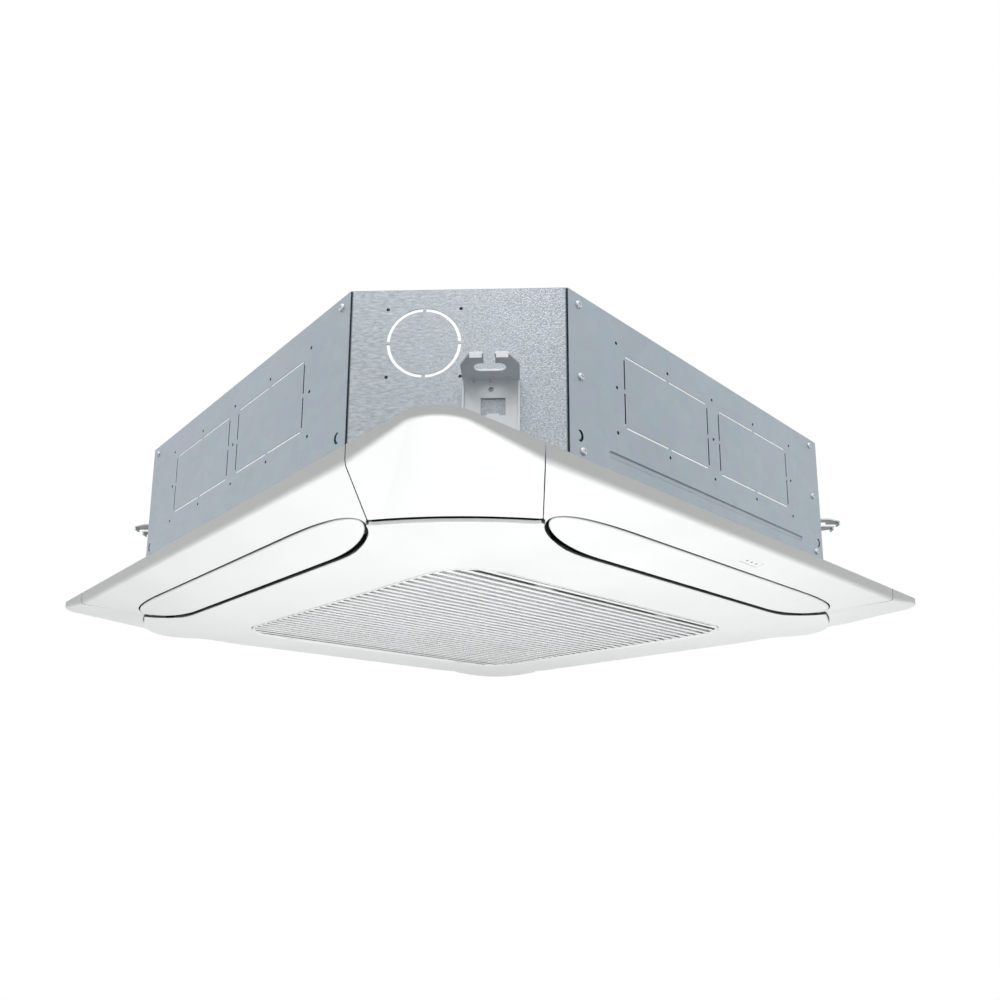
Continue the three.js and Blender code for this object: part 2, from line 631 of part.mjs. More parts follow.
// ---- vanes ----
// Modelled along X at the front side. The plate lies along the sloping face, just proud of it.
function vane() {
  const lean = Math.atan(SLOPE);
  const shape = asShape(pill(VANE_LONG - 1.2, VANE_HALF / Math.cos(lean) - 1.2, VANE_END));
  const plate = solid(new THREE.ExtrudeGeometry(shape, { depth: VANE_THICK - 1, bevelThickness: 0.5, bevelSize: 1.2,
    bevelSegments: 1 }));
  const low = faceZ(VANE_MID) - VANE_PROUD;
  const placed = plate.rotate([-THREE.MathUtils.radToDeg(lean), 0, 0]).translate([0, -VANE_MID, low + 0.5]);
  const pin = prismX(arc(-PIVOT_OUT, PIVOT_Z, PIN_R, 0, 360, 8).slice(1), WEB_X - 9, WEB_X + WEB_THICK - GAP);
  const core = (out) => faceZ(out) - VANE_PROUD + VANE_THICK / 2;
  const arm = prismX([[-381, core(381)], [-PIVOT_OUT + 3.4, PIVOT_Z + 2.4], [-PIVOT_OUT - 3.4, PIVOT_Z + 2.4],
    [-395, core(395)]], WEB_X - 9, WEB_X - 4);
  return unite([placed, pin, arm, pin.mirror([1, 0, 0]), arm.mirror([1, 0, 0])]);
}

// Stepper motor at one end of a vane, on the web of the duct. Its shaft is in line with the vane's pin,
// and the can sits higher, as the gears inside it put the shaft off its centre.
const SHAFT_OFFSET = 8;
function vaneMotor() {
  const x = WEB_X + WEB_THICK + GAP;
  const z = PIVOT_Z + SHAFT_OFFSET;
  const can = prismX(arc(-PIVOT_OUT, z, 9.5, 0, 360, 12).slice(1), x + 1.2, x + 17);
  const ears = box(x, x + 1.4, -PIVOT_OUT - 15, -PIVOT_OUT + 15, z + 1, z + 7);
  const shaft = prismX(arc(-PIVOT_OUT, PIVOT_Z, PIN_R, 0, 360, 8).slice(1), x, x + 3);
  return unite([can, ears, shaft]);
}

// ---- intake grille ----
function intakeGrille() {
  const low = CENTRE_BOTTOM + 0.3;
  const rim = prism(roundedSquare(OPENING - 1.2, OPENING_ROUND - 1, 6), low, -36.2)
    .subtract(prism(roundedSquare(OPENING - 5.8, OPENING_ROUND - 5, 6), -60, 0));
  const inside = prism(roundedSquare(OPENING - 3, OPENING_ROUND - 3, 6), -60, 0);
  const slats = [];
  for (let k = 0; k < SLAT_COUNT; k += 1) slats.push(slat((k - (SLAT_COUNT - 1) / 2) * SLAT_PITCH, low + 0.4));
  const ribs = [-RIB_STEP, 0, RIB_STEP].map((x) => box(x - 1.3, x + 1.3, -OPENING, OPENING, -39, -36.4));
  const field = unite([...slats, ...ribs]).intersect(inside);
  const notches = [-HINGE_X, HINGE_X].map((x) => box(x - 4.5, x + 4.5, HINGE_Y - 3.5, OPENING, -60, HINGE_Z + 3.5));
  const bosses = [-HINGE_X, HINGE_X].map((x) => box(x - 11, x + 11, HINGE_Y - 3, HINGE_Y + 3, low, HINGE_Z + 2.5));
  const bore = prismX(arc(HINGE_Y, HINGE_Z, 1.1, 0, 360, 10).slice(1), HINGE_X - 12, HINGE_X + 12);
  return without(unite([rim, field, ...bosses]), [...notches, bore, bore.mirror([1, 0, 0])]);
}

// One slat: a wedge that leans towards the back, with a flat lower face.
function slat(y, low) {
  return prismX([[y - 3.2, low], [y + 3.2, low], [y + 5.2, -37]], -OPENING, OPENING);
}

function airFilter() {
  const z0 = -35.6;
  const z1 = -31.4;
  const x = 258;
  const y0 = -236;
  const y1 = 238;
  const cells = 4;
  const rib = 3;
  const frame = box(-x, x, y0, y1, z0, z1);
  const stepX = (2 * x - rib) / cells;
  const stepY = (y1 - y0 - rib) / cells;
  const windows = [];
  for (let i = 0; i < cells; i += 1) {
    for (let k = 0; k < cells; k += 1) {
      const wx = -x + rib + i * stepX;
      const wy = y0 + rib + k * stepY;
      windows.push(box(wx, wx + stepX - rib, wy, wy + stepY - rib, z0 + 0.6, z1 + 1));
    }
  }
  return without(frame, windows);
}

function grilleLatch() {
  const body = box(-13, 13, -258, -242, -35.9, -31.5);
  const tongue = box(-8, 8, -OPENING + 1.8, -257, -35.9, -33.6);
  const grip = box(-9, 9, -252, -249, -31.6, -29.5);
  return unite([body, tongue, grip]);
}

function receiverWindow() {
  const z = faceZ(441);
  const plate = box(-3.6, 33.6, -445.6, -436.4, z + 0.6, z + 4);
  const lenses = [5, 15, 25].map((x) => rod(1.6, z - 0.6, z + 1, 8).translate([x, -441, 0]));
  return unite([plate, ...lenses]);
}

function receiverBoard() {
  const z = faceZ(441) + 5.8;
  return unite([box(-8, 38, -452, -438, z, z + 1.6), box(8, 22, -450, -442, z + 1, z + 5)]);
}

// ---- assembly ----
const cassette = new THREE.Group();
const SIDES = ['front', 'right', 'back', 'left'];
const CORNERS = ['near', 'right', 'far', 'left'];

function turned(degrees) {
  const group = new THREE.Group();
  group.rotation.z = THREE.MathUtils.degToRad(degrees);
  cassette.add(group);
  return group;
}

function addSides() {
  SIDES.forEach((side, k) => {
    const group = turned(90 * k);
    group.add(mesh(`side_panel_${side}`, sidePanel(side === 'left' || side === 'right', k % 2 === 0), zinc()));
    group.add(mesh(`vane_${side}`, vane(), white()));
    group.add(mesh(`vane_motor_${side}`, vaneMotor(), plastic(0xd8d8d4)));
  });
}

function addCorners() {
  CORNERS.forEach((corner, k) => {
    const group = turned(90 * k - 45);
    const panel = cornerPanel(corner === 'near');
    const cutForPipes = corner === 'far' ? panel.subtract(box(-68, 68, -CORNER_OUT - 3, -CORNER_OUT + 3, 122, 178)) : panel;
    group.add(mesh(`corner_panel_${corner}`, cutForPipes, zinc()));
    const side = { near: 1, right: -1, far: -1, left: 1 }[corner];
    group.add(mesh(`hanger_bracket_${corner}`, hangerBracket(side), zinc()));
    const cover = turned(90 * k - 180);
    cover.add(mesh(`corner_cover_${corner}`, cornerCover(), white()));
  });
}

function addCasing() {
  cassette.add(mesh('top_plate', topPlate(), zinc()));
  cassette.add(mesh('foam_liner', foamLiner(), plastic(0xe9e9e6, 0.8)));
  cassette.add(mesh('drain_pan', drainPan(), plastic(0xe9e9e6, 0.8)));
  cassette.add(mesh('bell_mouth', bellMouth(), plastic(0x24272b)));
  cassette.add(mesh('heat_exchanger', heatExchanger(), metal(0xc9ced2, 0.5)));
  cassette.add(mesh('coil_end_plate_a', coilEndPlate(), zinc()));
  const mirrored = coilEndPlate().mirror([1, -1, 0]);
  cassette.add(mesh('coil_end_plate_b', mirrored, zinc()));
}

function addFan() {
  cassette.add(mesh('fan_motor', fanMotor(), metal(0x9aa0a5)));
  cassette.add(mesh('motor_shaft', rod(4, 80, 120 - GAP), metal(0xc8ccd0)));
  cassette.add(mesh('turbo_fan', turboFan(), plastic(0x3b4045)));
  cassette.add(mesh('fan_nut', fanNut(), zinc()));
}

function addControls() {
  cassette.add(mesh('control_box', controlBox(), zinc()));
  cassette.add(mesh('control_box_cover', controlBoxCover(), zinc()));
  cassette.add(mesh('circuit_board', circuitBoard(), plastic(0x2f6b45)));
  cassette.add(mesh('terminal_block', terminalBlock(), plastic(0x2a2a2a)));
  cassette.add(mesh('receiver_window', receiverWindow(), plastic(0xe6e8ea, 0.2)));
  cassette.add(mesh('receiver_board', receiverBoard(), plastic(0x2f6b45)));
}

function addPipes() {
  const group = turned(135);
  group.add(mesh('drain_pump', drainPump(), plastic(0xd9d9d6)));
  group.add(mesh('float_switch', floatSwitch(), plastic(0xefefec)));
  group.add(mesh('drain_outlet', stub(16, 12.5, 70, ...PIPES.drain), plastic(0x9aa0a4)));
  group.add(mesh('liquid_pipe', stub(4.8, 3.4, 78, ...PIPES.liquid), metal(0xc77b4a, 0.3)));
  group.add(mesh('gas_pipe', stub(8, 6.6, 78, ...PIPES.gas), metal(0xc77b4a, 0.3)));
  group.add(mesh('liquid_flare_nut', flareNut(11, 5.1, ...PIPES.liquid), metal(0xc8a24a, 0.35)));
  group.add(mesh('gas_flare_nut', flareNut(16, 8.3, ...PIPES.gas), metal(0xc8a24a, 0.35)));
  group.add(mesh('pipe_plate', pipePlate(), zinc()));
}

function addPanel() {
  const gasket = prism(octagon(3), FRAME_TOP + GAP, BODY_FLOOR - GAP)
    .subtract(prism(octagon(18), -20, 20));
  cassette.add(mesh('panel_gasket', gasket, plastic(0x303234, 0.95)));
  cassette.add(mesh('panel_frame', panelFrame(), white()));
  cassette.add(mesh('duct_ring', ductRing(), white()));
  cassette.add(mesh('centre_panel', centrePanel(), white()));
}

function addGrille() {
  cassette.add(mesh('intake_grille', intakeGrille(), white()));
  cassette.add(mesh('air_filter', airFilter(), plastic(0xb9bdc0, 0.8)));
  for (const [name, x] of [['left', -120], ['right', 120]]) {
    const latch = mesh(`grille_latch_${name}`, grilleLatch(), white());
    latch.position.x = x;
    cassette.add(latch);
  }
  for (const [name, x] of [['left', -HINGE_X], ['right', HINGE_X]]) {
    const pin = prismX(arc(HINGE_Y, HINGE_Z, 0.8, 0, 360, 10).slice(1), x - 10, x + 10);
    cassette.add(mesh(`grille_hinge_pin_${name}`, pin, metal(0xc8ccd0)));
  }
}

addCasing();
addSides();
addCorners();
addFan();
addControls();
addPipes();
addPanel();
addGrille();

export default cassette;
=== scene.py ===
"""The looks of a ceiling cassette air conditioner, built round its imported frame.

Lengths are in millimetres until a mesh is made, and +Z is up. The front of the panel is -Y.
"""

import math

import bmesh
import bpy
from mathutils import Matrix, Vector


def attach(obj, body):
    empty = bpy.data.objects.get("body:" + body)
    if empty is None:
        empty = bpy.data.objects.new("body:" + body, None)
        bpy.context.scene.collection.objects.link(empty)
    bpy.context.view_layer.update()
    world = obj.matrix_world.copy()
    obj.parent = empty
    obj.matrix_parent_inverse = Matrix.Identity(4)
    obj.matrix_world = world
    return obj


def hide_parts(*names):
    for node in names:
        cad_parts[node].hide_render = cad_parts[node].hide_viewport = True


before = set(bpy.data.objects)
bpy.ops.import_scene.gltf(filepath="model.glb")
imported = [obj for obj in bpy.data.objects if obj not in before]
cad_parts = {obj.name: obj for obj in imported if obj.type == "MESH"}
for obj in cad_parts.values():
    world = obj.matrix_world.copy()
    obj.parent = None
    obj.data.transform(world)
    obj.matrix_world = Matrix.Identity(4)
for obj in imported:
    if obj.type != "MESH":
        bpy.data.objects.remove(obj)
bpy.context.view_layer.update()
MM = 0.001

# ---- side panels ----
# Four walls of 1 mm galvanised sheet, pressed and punched, with a lip folded in along the top and the foot.
# Each has two rectangular knockouts for branch ducts, small fixing holes round them, and hooks at its ends.
BODY = 420                 # half width of the casing
BODY_CUT = 154             # leg of its corner chamfers
BODY_FLOOR = 1
BODY_TOP = 210
SHEET = 1
SIDES = ("front", "right", "back", "left")
KNOCKOUTS = ((-178, -20), (5, 171))
KNOCKOUT_FOOT = 90
KNOCKOUT_HEAD = 171
SLIT = 2.1
BRIDGE = 2.4               # sheet left between two slits
THROUGH = (-BODY - 1, -BODY + 2)   # a cut's reach across a wall
HOLE_COLUMNS = (-191, -99, -8, 88, 183)
HOLE_ROWS = (181, 130.5, 80)
HOLE_RADIUS = 1.9
HOOK_X = 252
HOOK_Z = 58
HOOK_RADIUS = 6.5
LIP = 12
LIP_SHORT = 24             # how far each end of a lip stops short of the wall's end
BEAD_Z = 53
BEAD_REACH = 207
BEAD_HALF = 3.8
BEAD_BACK = 4.6


def linear(red, green, blue):
    """The scene colour of an 8-bit screen colour."""
    parts = [level / 255 for level in (red, green, blue)]
    return [part / 12.92 if part <= 0.04045 else ((part + 0.055) / 1.055) ** 2.4 for part in parts] + [1]


def shifted(tone, step):
    """The scene colour of a tone some levels lighter or darker."""
    return linear(*[level + step for level in tone])


class Value:
    """A socket in a finish's node tree, which adds a Math node for each sum or product made with it."""

    def __init__(self, finish, socket):
        self.finish = finish
        self.socket = socket

    def maths(self, operation, *others):
        return self.finish.node("Math", {"operation": operation}, dict(enumerate((self, *others))))

    def clamped(self):
        return self.maths("MINIMUM", 1).maths("MAXIMUM", 0)

    def __add__(self, other):
        return self.maths("ADD", other)

    def __mul__(self, other):
        return self.maths("MULTIPLY", other)

    def __sub__(self, other):
        return self.maths("SUBTRACT", other)

    def __rsub__(self, other):
        return self * -1 + other

    def __gt__(self, other):
        return self.maths("GREATER_THAN", other)

    def __mod__(self, other):
        return self.maths("FLOORED_MODULO", other)

    __radd__ = __add__
    __rmul__ = __mul__


class Finish:
    """A surface's material and its node tree."""

    def __init__(self, name, owner=None):
        self.material = owner or bpy.data.materials.new(name)
        self.material.use_nodes = True
        self.tree = self.material.node_tree
        self.tree.nodes.clear()

    def node(self, kind, settings=None, inputs=None, output=0):
        made = self.tree.nodes.new("ShaderNode" + kind)
        for name, value in (settings or {}).items():
            if name == "stops":
                self.set_stops(made.color_ramp, value)
            else:
                setattr(made, name, value)
        for name, value in (inputs or {}).items():
            if isinstance(value, Value):
                self.tree.links.new(value.socket, made.inputs[name])
            else:
                made.inputs[name].default_value = value
        return Value(self, made.outputs[output])

    def set_stops(self, ramp, stops):
        while len(ramp.elements) < len(stops):
            ramp.elements.new(0.5)
        for element, (place, colour) in zip(ramp.elements, stops):
            element.position = place
            element.color = colour

    def place(self, stretch=(1, 1, 1)):
        """Where a point lies on its piece, in metres, stretched along each axis."""
        where = self.node("TexCoord", output="Object")
        return self.node("Mapping", {"vector_type": "POINT"}, {"Vector": where, "Scale": stretch})

    def axis(self, name):
        return self.node("SeparateXYZ", None, {"Vector": self.node("TexCoord", output="Object")}, name)

    def noise(self, scale, detail=3, stretch=(1, 1, 1)):
        inputs = {"Vector": self.place(stretch), "Scale": scale, "Detail": detail}
        return self.node("TexNoise", None, inputs, "Fac")

    def cells(self, scale, output="Distance"):
        return self.node("TexVoronoi", None, {"Vector": self.place(), "Scale": scale}, output)

    def blend(self, share, first, second):
        """A colour between two others."""
        inputs = {0: share, 6: first, 7: second}
        return self.node("Mix", {"data_type": "RGBA"}, inputs, 2)

    def bump(self, height, strength, depth, edge=None):
        """A surface raised by a height from 0 to 1 over a depth in metres."""
        inputs = {"Height": height, "Strength": strength, "Distance": depth}
        if edge:
            inputs["Normal"] = edge
        return self.node("Bump", None, inputs)

    def soft_edge(self, radius):
        return self.node("Bevel", {"samples": 4}, {"Radius": radius * MM})

    def surface(self, **inputs):
        named = {name.replace("_", " "): value for name, value in inputs.items()}
        shader = self.node("BsdfPrincipled", None, named)
        return self.close(shader)

    def close(self, shader, output="Material"):
        made = self.tree.nodes.new("ShaderNodeOutput" + output)
        self.tree.links.new(shader.socket, made.inputs["Surface"])
        return self.material


# Painted shadow in the seams where the corner sheets turn in behind the side panels.
PAINTED_SEAM_SHADOW = linear(46, 52, 58)


def sheet_steel(name, tone, soft=0.4, metallic=0.82, emboss=None):
    """Galvanised sheet: a cool grey with faint spangle, and a pressed pattern where it is embossed, with
    painted shade in its hollows, a painted highlight on its raised parts and a painted shadow where it folds
    in.
    """
    finish = Finish(name)
    spangle = finish.cells(70, output="Color")
    drift = finish.noise(5, 2)
    light = finish.blend(drift, shifted(tone, -9), shifted(tone, 7))
    mode = {"data_type": "RGBA", "blend_type": "SOFT_LIGHT"}
    shade = finish.node("Mix", mode, {0: 0.06, 6: light, 7: spangle}, 2)
    height = finish.noise(14, 1) * 0.35
    if emboss:
        pattern, shadow = emboss(finish)
        # Painted shade in the pattern's hollows and a painted highlight on its raised parts.
        raised = finish.blend(drift, shade, shifted(tone, 24))
        shade = finish.blend(pattern, shifted(tone, -34), raised)
        # Painted shadow in the folded ends of the sheet.
        shade = finish.blend(shadow, shade, PAINTED_SEAM_SHADOW)
        height = height + pattern * 0.4
    smear = finish.noise(26, 4, (1, 1, 4))
    return finish.surface(
        Base_Color=shade,
        Metallic=metallic,
        Roughness=smear * 0.16 + 0.3,
        Normal=finish.bump(height, 0.5, 0.9 * MM, finish.soft_edge(soft)),
    )


STEEL = sheet_steel("galvanised_sheet", (172, 183, 192))


def solid(name, points, faces):
    """A closed mesh from points in millimetres."""
    mesh = bpy.data.meshes.new(name)
    mesh.from_pydata([[part * MM for part in point] for point in points], [], faces)
    shape = bmesh.new()
    shape.from_mesh(mesh)
    bmesh.ops.recalc_face_normals(shape, faces=shape.faces)
    shape.to_mesh(mesh)
    shape.free()
    piece = bpy.data.objects.new(name, mesh)
    bpy.context.scene.collection.objects.link(piece)
    return piece


def loft(name, rings, closed=False):
    """A skin over rings of equal counts: a flat face shuts each end, or the last ring meets the first."""
    count = len(rings[0])
    spans = len(rings) if closed else len(rings) - 1
    faces = []
    for k in range(spans):
        here, there = k * count, (k + 1) % len(rings) * count
        for i in range(count):
            j = (i + 1) % count
            faces.append((here + i, here + j, there + j, there + i))
    if not closed:
        faces.append(tuple(range(count))[::-1])
        faces.append(tuple(range(spans * count, (spans + 1) * count)))
    return solid(name, [point for ring in rings for point in ring], faces)


PLACED = {
    "X": lambda a, b, t: (t, a, b),
    "Y": lambda a, b, t: (a, t, b),
    "Z": lambda a, b, t: (a, b, t),
}


def prism(outline, low, high, along="Z", name="tool"):
    """An outline carried from low to high along an axis; it is drawn in the other two axes, in order."""
    return loft(name, [[PLACED[along](a, b, t) for a, b in outline] for t in (low, high)])


def block(x0, x1, y0, y1, z0, z1, name="tool"):
    return prism([(x0, y0), (x1, y0), (x1, y1), (x0, y1)], z0, z1, "Z", name)


def arc(x, y, radius, start, end, steps=12, tall=None):
    """Points of an arc about (x, y), in degrees; it is an ellipse where tall is given."""
    turns = [math.radians(start + (end - start) * i / steps) for i in range(steps + 1)]
    return [(x + radius * math.cos(t), y + (tall or radius) * math.sin(t)) for t in turns]


def circle(x, y, radius, steps=20):
    return arc(x, y, radius, 0, 360, steps)[1:]


def pill(half_long, half_wide, end, middle=0, steps=16):
    """Straight sides and half-elliptic ends, drawn along the first axis."""
    right = arc(half_long - end, middle, end, -90, 90, steps, half_wide)
    left = arc(end - half_long, middle, end, 90, 270, steps, half_wide)
    return right + left


def gathered(pieces):
    """Several separate pieces as one mesh."""
    first, *rest = pieces
    shape = bmesh.new()
    for piece in pieces:
        shape.from_mesh(piece.data)
    shape.to_mesh(first.data)
    shape.free()
    for piece in rest:
        bpy.data.objects.remove(piece)
    return first


def worked(piece, operation, *tools):
    """The piece after a cut, a union or an intersection with tools that stand apart from each other."""
    tool = gathered(tools)
    step = piece.modifiers.new("step", "BOOLEAN")
    step.operation = operation
    step.solver = "MANIFOLD"
    step.object = tool
    applied(piece)
    bpy.data.objects.remove(tool)
    return piece


def cut(piece, *tools):
    return worked(piece, "DIFFERENCE", *tools)


def joined(piece, *tools):
    return worked(piece, "UNION", *tools)


def applied(piece):
    ready = piece.evaluated_get(bpy.context.evaluated_depsgraph_get())
    mesh = bpy.data.meshes.new_from_object(ready)
    piece.modifiers.clear()
    piece.data = mesh


def turned(piece, degrees):
    piece.data.transform(Matrix.Rotation(math.radians(degrees), 4, "Z"))
    return piece


def finished(piece, name, finish, body="casing", nodes=(), crease=32):
    """Names a piece, gives it its finish, keeps its flats flat, and lets it ride on its body."""
    piece.name = piece.data.name = name
    piece.data.materials.clear()
    piece.data.materials.append(finish)
    piece.data.shade_smooth()
    piece.data.set_sharp_from_angle(angle=math.radians(crease))
    flats = piece.modifiers.new("flats", "WEIGHTED_NORMAL")
    flats.keep_sharp = True
    flats.weight = 90
    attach(piece, body)
    if nodes:
        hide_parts(*nodes)
    return piece


def halves(low, high):
    """The two halves of a length, with a bridge between them and at its ends."""
    middle = (low + high) / 2
    return (low + BRIDGE, middle - BRIDGE), (middle + BRIDGE, high - BRIDGE)


def side_slits(x0, x1):
    """Slits round one knockout, held by a bridge in the middle of each side and by its corners."""
    half = SLIT / 2
    z0, z1 = KNOCKOUT_FOOT, KNOCKOUT_HEAD
    slits = []
    for a, b in halves(x0, x1):
        slits += [block(a, b, *THROUGH, z - half, z + half) for z in (z0, z1)]
    for a, b in halves(z0, z1):
        slits += [block(x - half, x + half, *THROUGH, a, b) for x in (x0, x1)]
    return slits


def side_holes():
    """Fixing holes round the two knockouts: none in the middle of a knockout."""
    holes = []
    for column, x in enumerate(HOLE_COLUMNS):
        for row, z in enumerate(HOLE_ROWS):
            if row != 1 or column % 2 == 0:
                holes.append(prism(circle(x, z, HOLE_RADIUS, 12), *THROUGH, "Y"))
    return holes


def hook_notch(x):
    """A crescent slit, which frees the hook that holds the panel during fitting."""
    outer = arc(x, HOOK_Z, HOOK_RADIUS, -80, 80, 10)
    inner = arc(x - 2.2, HOOK_Z, HOOK_RADIUS - 1.5, 80, -80, 10)
    return prism(outer + inner, *THROUGH, "Y")


def side_sheet(name, flip, bead):
    reach = BODY - BODY_CUT - 0.5
    lip_reach = reach - LIP_SHORT
    sheet = block(-reach, reach, -BODY, -BODY + SHEET, BODY_FLOOR, BODY_TOP, name)
    lips = [block(-lip_reach, lip_reach, -BODY + SHEET / 2, -BODY + LIP, z, z + SHEET)
            for z in (BODY_FLOOR, BODY_TOP - SHEET)]
    joined(sheet, *lips)
    tools = side_holes() + [hook_notch(x) for x in (-HOOK_X, HOOK_X)]
    for x0, x1 in KNOCKOUTS:
        tools += side_slits(x0, x1)
    cut(sheet, *tools)
    if bead:
        back = [(x, z + BEAD_Z) for x, z in pill(BEAD_REACH, BEAD_BACK, BEAD_BACK)]
        joined(sheet, prism(back, -BODY + 0.9, -BODY + 2.6, "Y"))
        groove = []
        for y, inset in ((-BODY - 0.6, -0.6), (-BODY, 0), (-BODY + 0.9, 1.1), (-BODY + 1.6, 2.4)):
            outline = pill(BEAD_REACH - inset, BEAD_HALF - inset, BEAD_HALF - inset)
            groove.append([(x, y, z + BEAD_Z) for x, z in outline])
        cut(sheet, loft("tool", groove))
    if flip:
        sheet.data.transform(Matrix.Scale(-1, 4, (1, 0, 0)))
        sheet.data.flip_normals()
    return sheet


def pan_screw(name, x, z, radius=4.2):
    """A pan-head screw with a cross recess, on a wall that faces -Y at y = 0."""
    profile = [(0.1, -2.2), (radius * 0.55, -2.1), (radius * 0.85, -1.6), (radius, -0.7), (radius, 0.4)]
    turns = [math.tau * i / 20 for i in range(20)]
    screw = loft(name, [[(x + r * math.cos(t), y, z + r * math.sin(t)) for t in turns] for r, y in profile])
    arm, blade = radius * 0.5, 0.45
    for a, b in ((arm, blade), (blade, arm)):
        cut(screw, block(x - a, x + a, -3, -1.3, z - b, z + b))
    return screw


SCREW_ZINC = sheet_steel("screw_zinc", (222, 226, 230), soft=0.2)
SIX_SCREWS = ((-250, 199), (-248, 121), (-246, 43), (246, 201), (246, 125), (246, 44))
TWO_SCREWS = ((-250, 200), (250, 200))
for quarter, side in enumerate(SIDES):
    facing = side in ("front", "back")
    wall = turned(side_sheet("wall", not facing, facing), 90 * quarter)
    finished(wall, f"wall_{side}", STEEL, nodes=[f"side_panel_{side}"])
    screws = gathered([pan_screw("screw", x, z) for x, z in (SIX_SCREWS if facing else TWO_SCREWS)])
    screws.data.transform(Matrix.Translation((0, -BODY * MM, 0)))
    finished(turned(screws, 90 * quarter), f"wall_screws_{side}", SCREW_ZINC, crease=40)

# ---- corner panels ----
# Embossed sheet across each corner, bent back behind the side panels at both ends.
# The near one has a round fresh-air knockout, and the far one a plate with the pipes.
CORNER_OUT = (2 * BODY - BODY_CUT) / math.sqrt(2)
CORNERS = ("near", "right", "far", "left")
CORNER_BEND = (BODY - SHEET - 0.3) * math.sqrt(2) - CORNER_OUT
BEND_RADIUS = 3
KNOCKOUT_X = -34
KNOCKOUT_Z = 153
KNOCKOUT_RADIUS = 35.5
RING_SLIT = 3.2
RING_BRIDGE = 2.6          # degrees of sheet left at each end of an arc
DOT_REACH = 36.5
DOT_RADIUS = 1.8
TAIL = 14                  # how far the sheet reaches behind the side panels
PIPE_WINDOW = (-68, 68, -CORNER_OUT - 3, -CORNER_OUT + 3, 122, 178)
SEAM_SHADOW = 149.3        # ||x| - |y|| where the corner sheet turns in behind the side panels, and where its painted shadow starts


def stucco(finish):
    """Pressed ripples that pass into a fine grain along the sheet, and a painted shadow in its folded ends.
    """
    across = finish.axis("X").maths("ABSOLUTE") - finish.axis("Y").maths("ABSOLUTE")
    ripple = finish.noise(300, 2, (0.5, 0.5, 1.4)) * 0.6 + 0.2
    grain = finish.noise(560, 2)
    share = (across * -4 + 0.5).clamped()
    pattern = (ripple * (1 - share) + grain * share) * 2.6 - 0.8
    edge = (across.maths("ABSOLUTE") - SEAM_SHADOW * MM) * 400
    return pattern.clamped(), edge.clamped()


# Its tone is lighter than the side walls' steel: painted light on the corner panels.
EMBOSSED = sheet_steel("embossed_sheet", (189, 196, 202), emboss=stucco)


def bent_path(inset):
    """The corner sheet seen from above, moved inwards by its thickness."""
    radius = BEND_RADIUS - inset
    middle = CORNER_BEND - BEND_RADIUS * math.tan(math.radians(22.5))
    right = arc(middle, -CORNER_OUT + BEND_RADIUS, radius, -90, -45, 6)
    end = right[-1]
    right.append((end[0] + TAIL, end[1] + TAIL))
    return [(-x, y) for x, y in reversed(right)] + right


def arc_slit(start):
    ends = (start + RING_BRIDGE, start + 90 - RING_BRIDGE)
    outer = arc(KNOCKOUT_X, KNOCKOUT_Z, KNOCKOUT_RADIUS + RING_SLIT / 2, *ends, 20)
    inner = arc(KNOCKOUT_X, KNOCKOUT_Z, KNOCKOUT_RADIUS - RING_SLIT / 2, *ends[::-1], 20)
    return prism(outer + inner, -CORNER_OUT - 2, -CORNER_OUT + 2, "Y")


for quarter, corner in enumerate(CORNERS):
    sheet = prism(bent_path(0) + bent_path(SHEET)[::-1], BODY_FLOOR, BODY_TOP, name="corner")
    if corner == "near":
        steps = (-DOT_REACH, DOT_REACH)
        around = [circle(KNOCKOUT_X + a, KNOCKOUT_Z + b, DOT_RADIUS, 12) for a in steps for b in steps]
        dots = [prism(dot, -CORNER_OUT - 2, -CORNER_OUT + 2, "Y") for dot in around]
        cut(sheet, *[arc_slit(start) for start in (0, 90, 180, 270)], *dots)
    if corner == "far":
        cut(sheet, block(*PIPE_WINDOW))
    turned(sheet, 90 * quarter - 45)
    finished(sheet, f"corner_wall_{corner}", EMBOSSED, nodes=[f"corner_panel_{corner}"])

# ---- hanger brackets ----
# Thicker pressed plate: a strap riveted to the corner panel, and a flange whose T-slot takes the hanging rod.
# The fingers beside the slot's mouth are bent down, so that the nut can't slide out.
FLANGE_Z = 113
FLANGE_OUT = 50
BRACKET_X = 33
BRACKET_HALF = 28
BRACKET_FOOT = 18
PLATE = 2
FOLD_Z = FLANGE_Z - 6      # where the side ribs and the bent fingers end
FLANGE_TAPER = 30          # where the flange starts to narrow, from the wall
FINGER_X = 18
FINGER_IN = 6.5
MOUTH_HALF = 5.5
SLOT_HALF = 15.5
STRAP_WINDOW = (-10, 14, 74, 92)
WINDOW_TAB = (-4, 8, 73, 76)
BRIGHT = sheet_steel("bright_plate", (236, 241, 245), soft=0.7, metallic=0.6)


def gusset(x, back):
    """A dimple pressed into the fold, which stiffens it."""
    inner, under = back - PLATE + 0.5, FLANGE_Z - PLATE + 0.5
    return prism([(inner, FOLD_Z), (inner, under), (back - 6, under)], x - 1.2, x + 1.2, "X")


